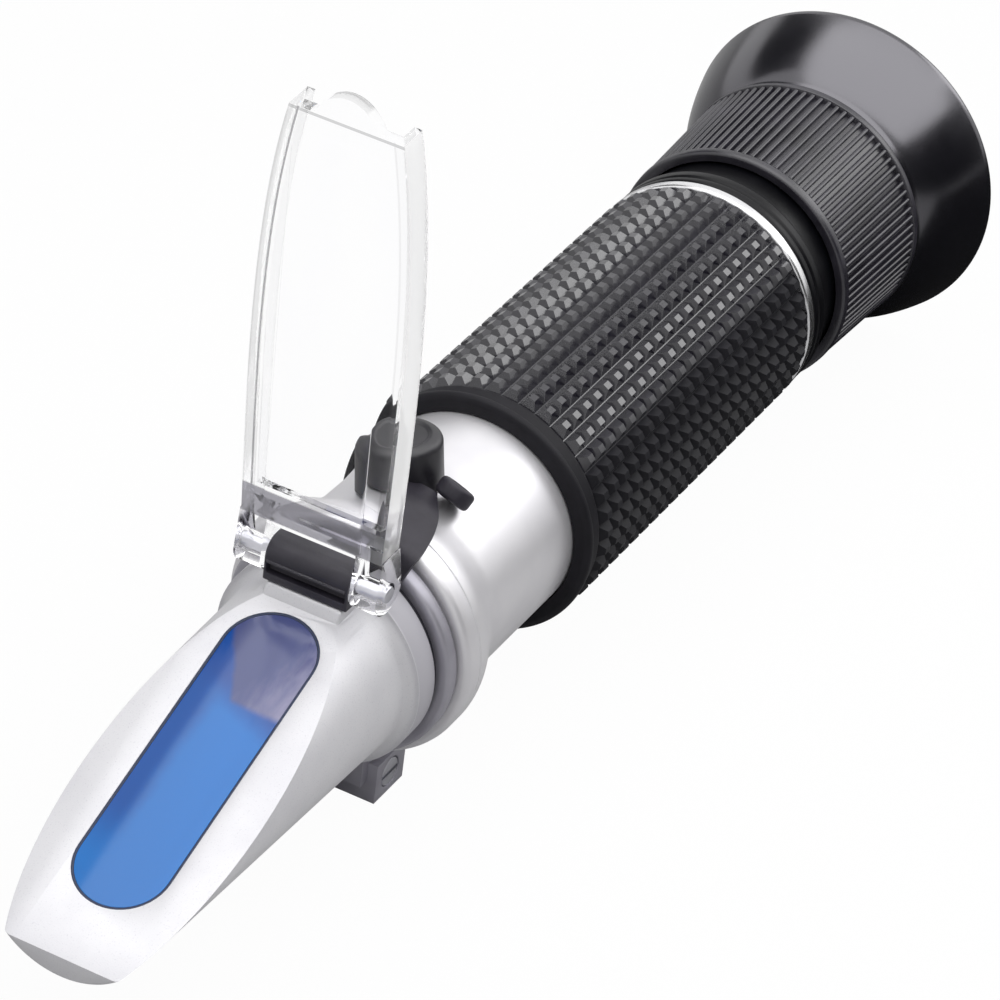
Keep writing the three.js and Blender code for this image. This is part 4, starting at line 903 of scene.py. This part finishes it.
def grip_pattern():
    """A line of pyramids along the grip, each raised from a flat between valleys, all round it."""
    pitch = (TRIM - PATTERN) / GRIP_ROWS
    step = math.tau / GRIP_COLUMNS
    valleys = [(PATTERN + pitch * i, 0, VALLEY) for i in range(GRIP_ROWS + 1)]
    mesh = flat_mesh([(PATTERN, 0, GRIP_BORE), *valleys, (TRIM, 0, GRIP_BORE)])
    bmesh.ops.spin(
        mesh, geom=mesh.verts[:] + mesh.edges[:], cent=(0, 0, 0), axis=(1, 0, 0),
        angle=step, steps=1, use_merge=False, use_duplicate=False,
    )
    bmesh.ops.recalc_face_normals(mesh, faces=mesh.faces[:])
    outward = Matrix.Rotation(step / 2, 4, "X") @ Vector((0, 0, 1))
    level = [face for face in mesh.faces if abs(face.normal.x) < 0.5]
    flats = [face for face in level if face.calc_center_median().dot(outward) > VALLEY - 0.5]
    for face in flats:
        if face.normal.dot(outward) < 0:
            bmesh.ops.reverse_faces(mesh, faces=[face])
    bmesh.ops.inset_individual(mesh, faces=flats, thickness=0.07, depth=0.0)
    bmesh.ops.inset_individual(mesh, faces=flats, thickness=0.9, depth=1.0)
    return cleaned(repeated(mesh, GRIP_COLUMNS))


def grip_collar():
    """The grip's plain front end: a bead, a groove and a low collar."""
    bead, end = 14.6, PATTERN - 0.02
    return turned([
        (GRIP, GRIP_BORE), (GRIP, 13.9, 0.15), (GRIP + 0.35, bead, 0.3), (GRIP + 1.15, bead, 0.3),
        (GRIP + 1.45, 13.95, 0.15), (PATTERN - 0.5, 14.2, 0.3), (end, VALLEY), (end, GRIP_BORE),
    ])


def trim_ring():
    radius, end = 14.55, REAR - 0.02
    return turned([(TRIM, GRIP_BORE), (TRIM, radius, 0.35), (end, radius, 0.2), (end, GRIP_BORE)])


def rear_collar():
    """A collar with a groove, and the sleeve that the focus ring turns on."""
    radius, groove, sleeve, end, seat = 14.5, 14.25, 13.5, 65.4, TUBE_END + 0.15
    mesh = turned([
        (REAR, GRIP_BORE), (REAR, radius, 0.5), (REAR + 1.15, radius, 0.2),
        (REAR + 1.35, groove, 0.15), (REAR + 1.6, radius, 0.2), (SLEEVE, radius, 0.5),
        (SLEEVE, sleeve, 0.1), (end, sleeve, 0.1), (end, BORE), (seat, BORE), (seat, GRIP_BORE),
    ])
    pin = middle("guide_pin", "X")
    return combined(mesh, ("DIFFERENCE", rod(1.15, (pin, 0, -20), (pin, 0, -5))))


def focus_radius(x):
    """The focus ring's outside, which widens a little towards the eyecup."""
    return 15.0 + 0.75 * (x - FOCUS) / (SHOULDER - FOCUS)


def focus_ring():
    """A ring with a plain edge at each end and ribs between, hollow over the sleeve."""
    start, end, drop = FOCUS + 1.1, SHOULDER - 1.1, 0.7
    first, last, hollow, neck = start + 0.15, end - 0.15, 13.8, 13.6
    web_front, web_back, pocket = 69.6, 74.9, 12.6
    mesh = turned([
        (FOCUS, hollow), (FOCUS, 14.95, 0.4), (start, focus_radius(start), 0.1),
        (first, focus_radius(start) - drop), (last, focus_radius(end) - drop),
        (end, focus_radius(end), 0.1), (SHOULDER, 15.7, 0.4), (SHOULDER, neck), (FOCUS_END, neck),
        (FOCUS_END, pocket), (web_back, pocket), (web_back, BORE), (web_front, BORE), (web_front, hollow),
    ], 2 * RIBS)
    height = 1.3
    rib = bmesh.new()
    bmesh.ops.create_cube(rib, size=1)
    bmesh.ops.scale(rib, vec=(last - first, 0.56, height), verts=rib.verts[:])
    tops = [edge for edge in rib.edges if edge.verts[0].co.z > 0]
    long_edges = [edge for edge in tops if abs((edge.verts[0].co - edge.verts[1].co).x) > 1]
    bmesh.ops.bevel(
        rib, geom=long_edges, offset=0.2, offset_type="OFFSET", segments=2, affect="EDGES",
        profile=0.5, material=-1,
    )
    for vert in rib.verts:
        vert.co.x += (start + end) / 2
        vert.co.z += focus_radius(vert.co.x) - 0.1 - height / 2
    ribs = loose(repeated(rib, RIBS))
    mesh.from_mesh(ribs.data)
    discard(ribs)
    return mesh


def eyecup():
    """Soft rubber that flares to a round rim, with a bowl down to the lens."""
    lip, seat, bowl, floor, hole = 0.65, 13.9, 80.9, 79.6, 8.8
    flare = curve([(CUP + 0.65, 15.2), (CUP + 3.25, 18.2), (RIM - lip, AXIS_HEIGHT)], 28)
    rim = [math.radians(90 - 15 * i) for i in range(1, 13)]
    return turned([
        (CUP, seat), (CUP, 14.9, 0.3), *flare,
        *[(RIM - lip + lip * math.cos(a), AXIS_HEIGHT - lip + lip * math.sin(a)) for a in rim],
        (bowl, 14.0, 0.5), (bowl, hole, 0.3), (floor, hole), (floor, seat),
    ], 192)


def ocular_ring():
    front, back = span("ocular_ring", "X")
    radius = span("ocular_ring", "Y")[1]
    return turned([(front, 7.8), (front, radius), (back, radius, 0.15), (back, 7.8, 0.4)])


def eye_lens():
    """A lens domed alike on both faces."""
    front, back = span("eye_lens", "X")
    radius, bulge = span("eye_lens", "Y")[1], 1.2
    dome = [(bulge * (1 - (i / 12) ** 2), radius * i / 12) for i in range(13)]
    near = [(front + bulge - x, r) for x, r in dome]
    far = [(back - bulge + x, r) for x, r in reversed(dome)]
    return turned(near + far, 96)


new_piece("grip_pyramids", grip_pattern(), grip_rubber, "barrel", "grip_sleeve", smooth=20)
new_piece("grip_front_collar", grip_collar(), grip_edge, "barrel", "grip_sleeve")
new_piece("bright_trim_ring", trim_ring(), trim_bright, "barrel", "trim_ring")
new_piece("rear_collar_body", rear_collar(), collar_black, "barrel", "rear_collar")
new_piece("focus_ring_body", focus_ring(), focus_black, "focus", "focus_ring", smooth=50)
new_piece("eyecup_body", eyecup(), eyecup_rubber, "focus", "eyecup")
new_piece("ocular_retainer", ocular_ring(), inner_black, "ocular", "ocular_ring")
new_piece("eye_lens_glass", eye_lens(), lens_clear, "ocular", "eye_lens")


# Inner nodes keep their own solids and get their finishes

INNER = {
    frame_brass: ("prism_frame", "bimetal_strip", "calibration_screw"),
    small_steel: (
        "prism_frame_screw_left", "prism_frame_screw_right", "cell_spring", "guide_pin", "ocular_clip",
    ),
    inner_black: (
        "objective_cell", "objective_ring", "cell_ring", "reticle_cell", "ocular_tube", "lens_spacer",
    ),
    lens_clear: ("objective_lens", "reticle", "field_lens"),
}
for finish, names in INNER.items():
    for name in names:
        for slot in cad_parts[name].material_slots:
            slot.material = finish


# Floor, light and camera, in metres


def by_ray(graph, plain, seen):
    """One value where light falls from, another for the rays that see the white background.

    Those are the camera's, and those through glass or off metal.
    """
    camera = graph.node("ShaderNodeLightPath", output="Is Camera Ray")
    sees = camera.or_more(camera.beside("Is Glossy Ray")).or_more(camera.beside("Is Transmission Ray"))
    return graph.node("ShaderNodeMapRange", {}, {"Value": sees, "To Min": plain, "To Max": seen})


def white_paper():
    """White paper that keeps a faint shadow."""
    f = Finish("floor_white")
    paper = f.node("ShaderNodeBsdfDiffuse", {}, {"Color": (0.9, 0.9, 0.905)})
    return f.mixed_with(by_ray(f, 0.0, 0.97), f.node("ShaderNodeEmission"), paper)


def stage_piece(name, mesh, material):
    piece = loose(mesh, name)
    piece.data.materials.append(material)
    return piece


def reflected_card(name, low, high, shade, bounces=False):
    """A card that only reflections see, and bounced light where it bounces."""
    f = Finish(name, Base_Color=(shade, shade, shade), Roughness=1.0, Specular_IOR_Level=0.0)
    card = stage_piece(name, block(low, high), f.material)
    card.visible_camera = False
    card.visible_diffuse = bounces
    card.visible_shadow = False
    card.visible_transmission = False


def soft_box(name, place, target, size, radiance):
    """A rectangular lamp as bright to look at as its radiance says."""
    data = bpy.data.lights.new(name, "AREA")
    data.shape, data.size, data.size_y = "RECTANGLE", size[0], size[1]
    data.energy = radiance * math.pi * size[0] * size[1]
    lamp = bpy.data.objects.new(name, data)
    lamp.location = place
    lamp.rotation_euler = (Vector(target) - Vector(place)).to_track_quat("-Z", "Y").to_euler()
    bpy.context.scene.collection.objects.link(lamp)


def studio():
    floor = bmesh.new()
    bmesh.ops.create_grid(floor, x_segments=1, y_segments=1, size=3)
    bmesh.ops.translate(floor, verts=floor.verts[:], vec=(0, 0, -0.0001))
    stage_piece("floor", floor, white_paper())

    world = bpy.data.worlds.new("soft_white")
    bpy.context.scene.world = world
    graph = Graph(world)
    background = graph.tree.nodes["Background"]
    graph.feed(background, "Color", (1, 1, 1))
    graph.feed(background, "Strength", by_ray(graph, 0.3, 1.0))

    soft_box("overhead", (0.0, -0.2, 0.72), (0.0, -0.2, 0.0), (1.05, 1.36), 1.6)
    soft_box("eyecup_side", (0.68, -0.38, 0.49), (0.0, 0.0, 0.02), (0.40, 0.42), 2.4)
    reflected_card("grey_floor_card", (-2.5, -2.5, -0.00008), (2.5, 2.5, -0.00004), 0.48, True)
    # Painted shadow: a dark card on the floor beside the eyecup, which only reflections see, where the
    # floor lies in shade
    reflected_card("painted_floor_shadow_card", (0.06, -0.36, 0.0), (0.36, 0.02, 0.0005), 0.02)
    reflected_card("dark_far_card", (0.02, 0.25, 0.12), (0.3, 0.255, 0.335), 0.06)
    reflected_card("dark_near_card", (-0.9, -0.96, 0.0), (0.7, -0.955, 0.75), 0.03)


def view_camera():
    """The photo's view, from its fitted place, turn and lens."""
    place, lens = (-0.47222, -0.21605, 0.37728), 206.43
    azimuth, elevation, roll = (math.radians(a) for a in (-65.496, 34.598, 7.576))
    back = Vector((
        math.sin(azimuth) * math.cos(elevation), -math.cos(azimuth) * math.cos(elevation),
        math.sin(elevation),
    ))
    right = Vector((math.cos(azimuth), math.sin(azimuth), 0))
    up = back.cross(right)
    rolled_right = right * math.cos(roll) + up * math.sin(roll)
    rolled_up = up * math.cos(roll) - right * math.sin(roll)
    data = bpy.data.cameras.new("photo_view")
    data.sensor_width, data.lens = 36.0, lens
    data.clip_start, data.clip_end = 0.01, 20
    camera = bpy.data.objects.new("photo_view", data)
    turn = Matrix((rolled_right, rolled_up, back)).transposed().to_4x4()
    camera.matrix_world = Matrix.Translation(place) @ turn
    bpy.context.scene.collection.objects.link(camera)
    bpy.context.scene.camera = camera


studio()
view_camera()
bpy.context.scene.view_settings.view_transform = "Standard"
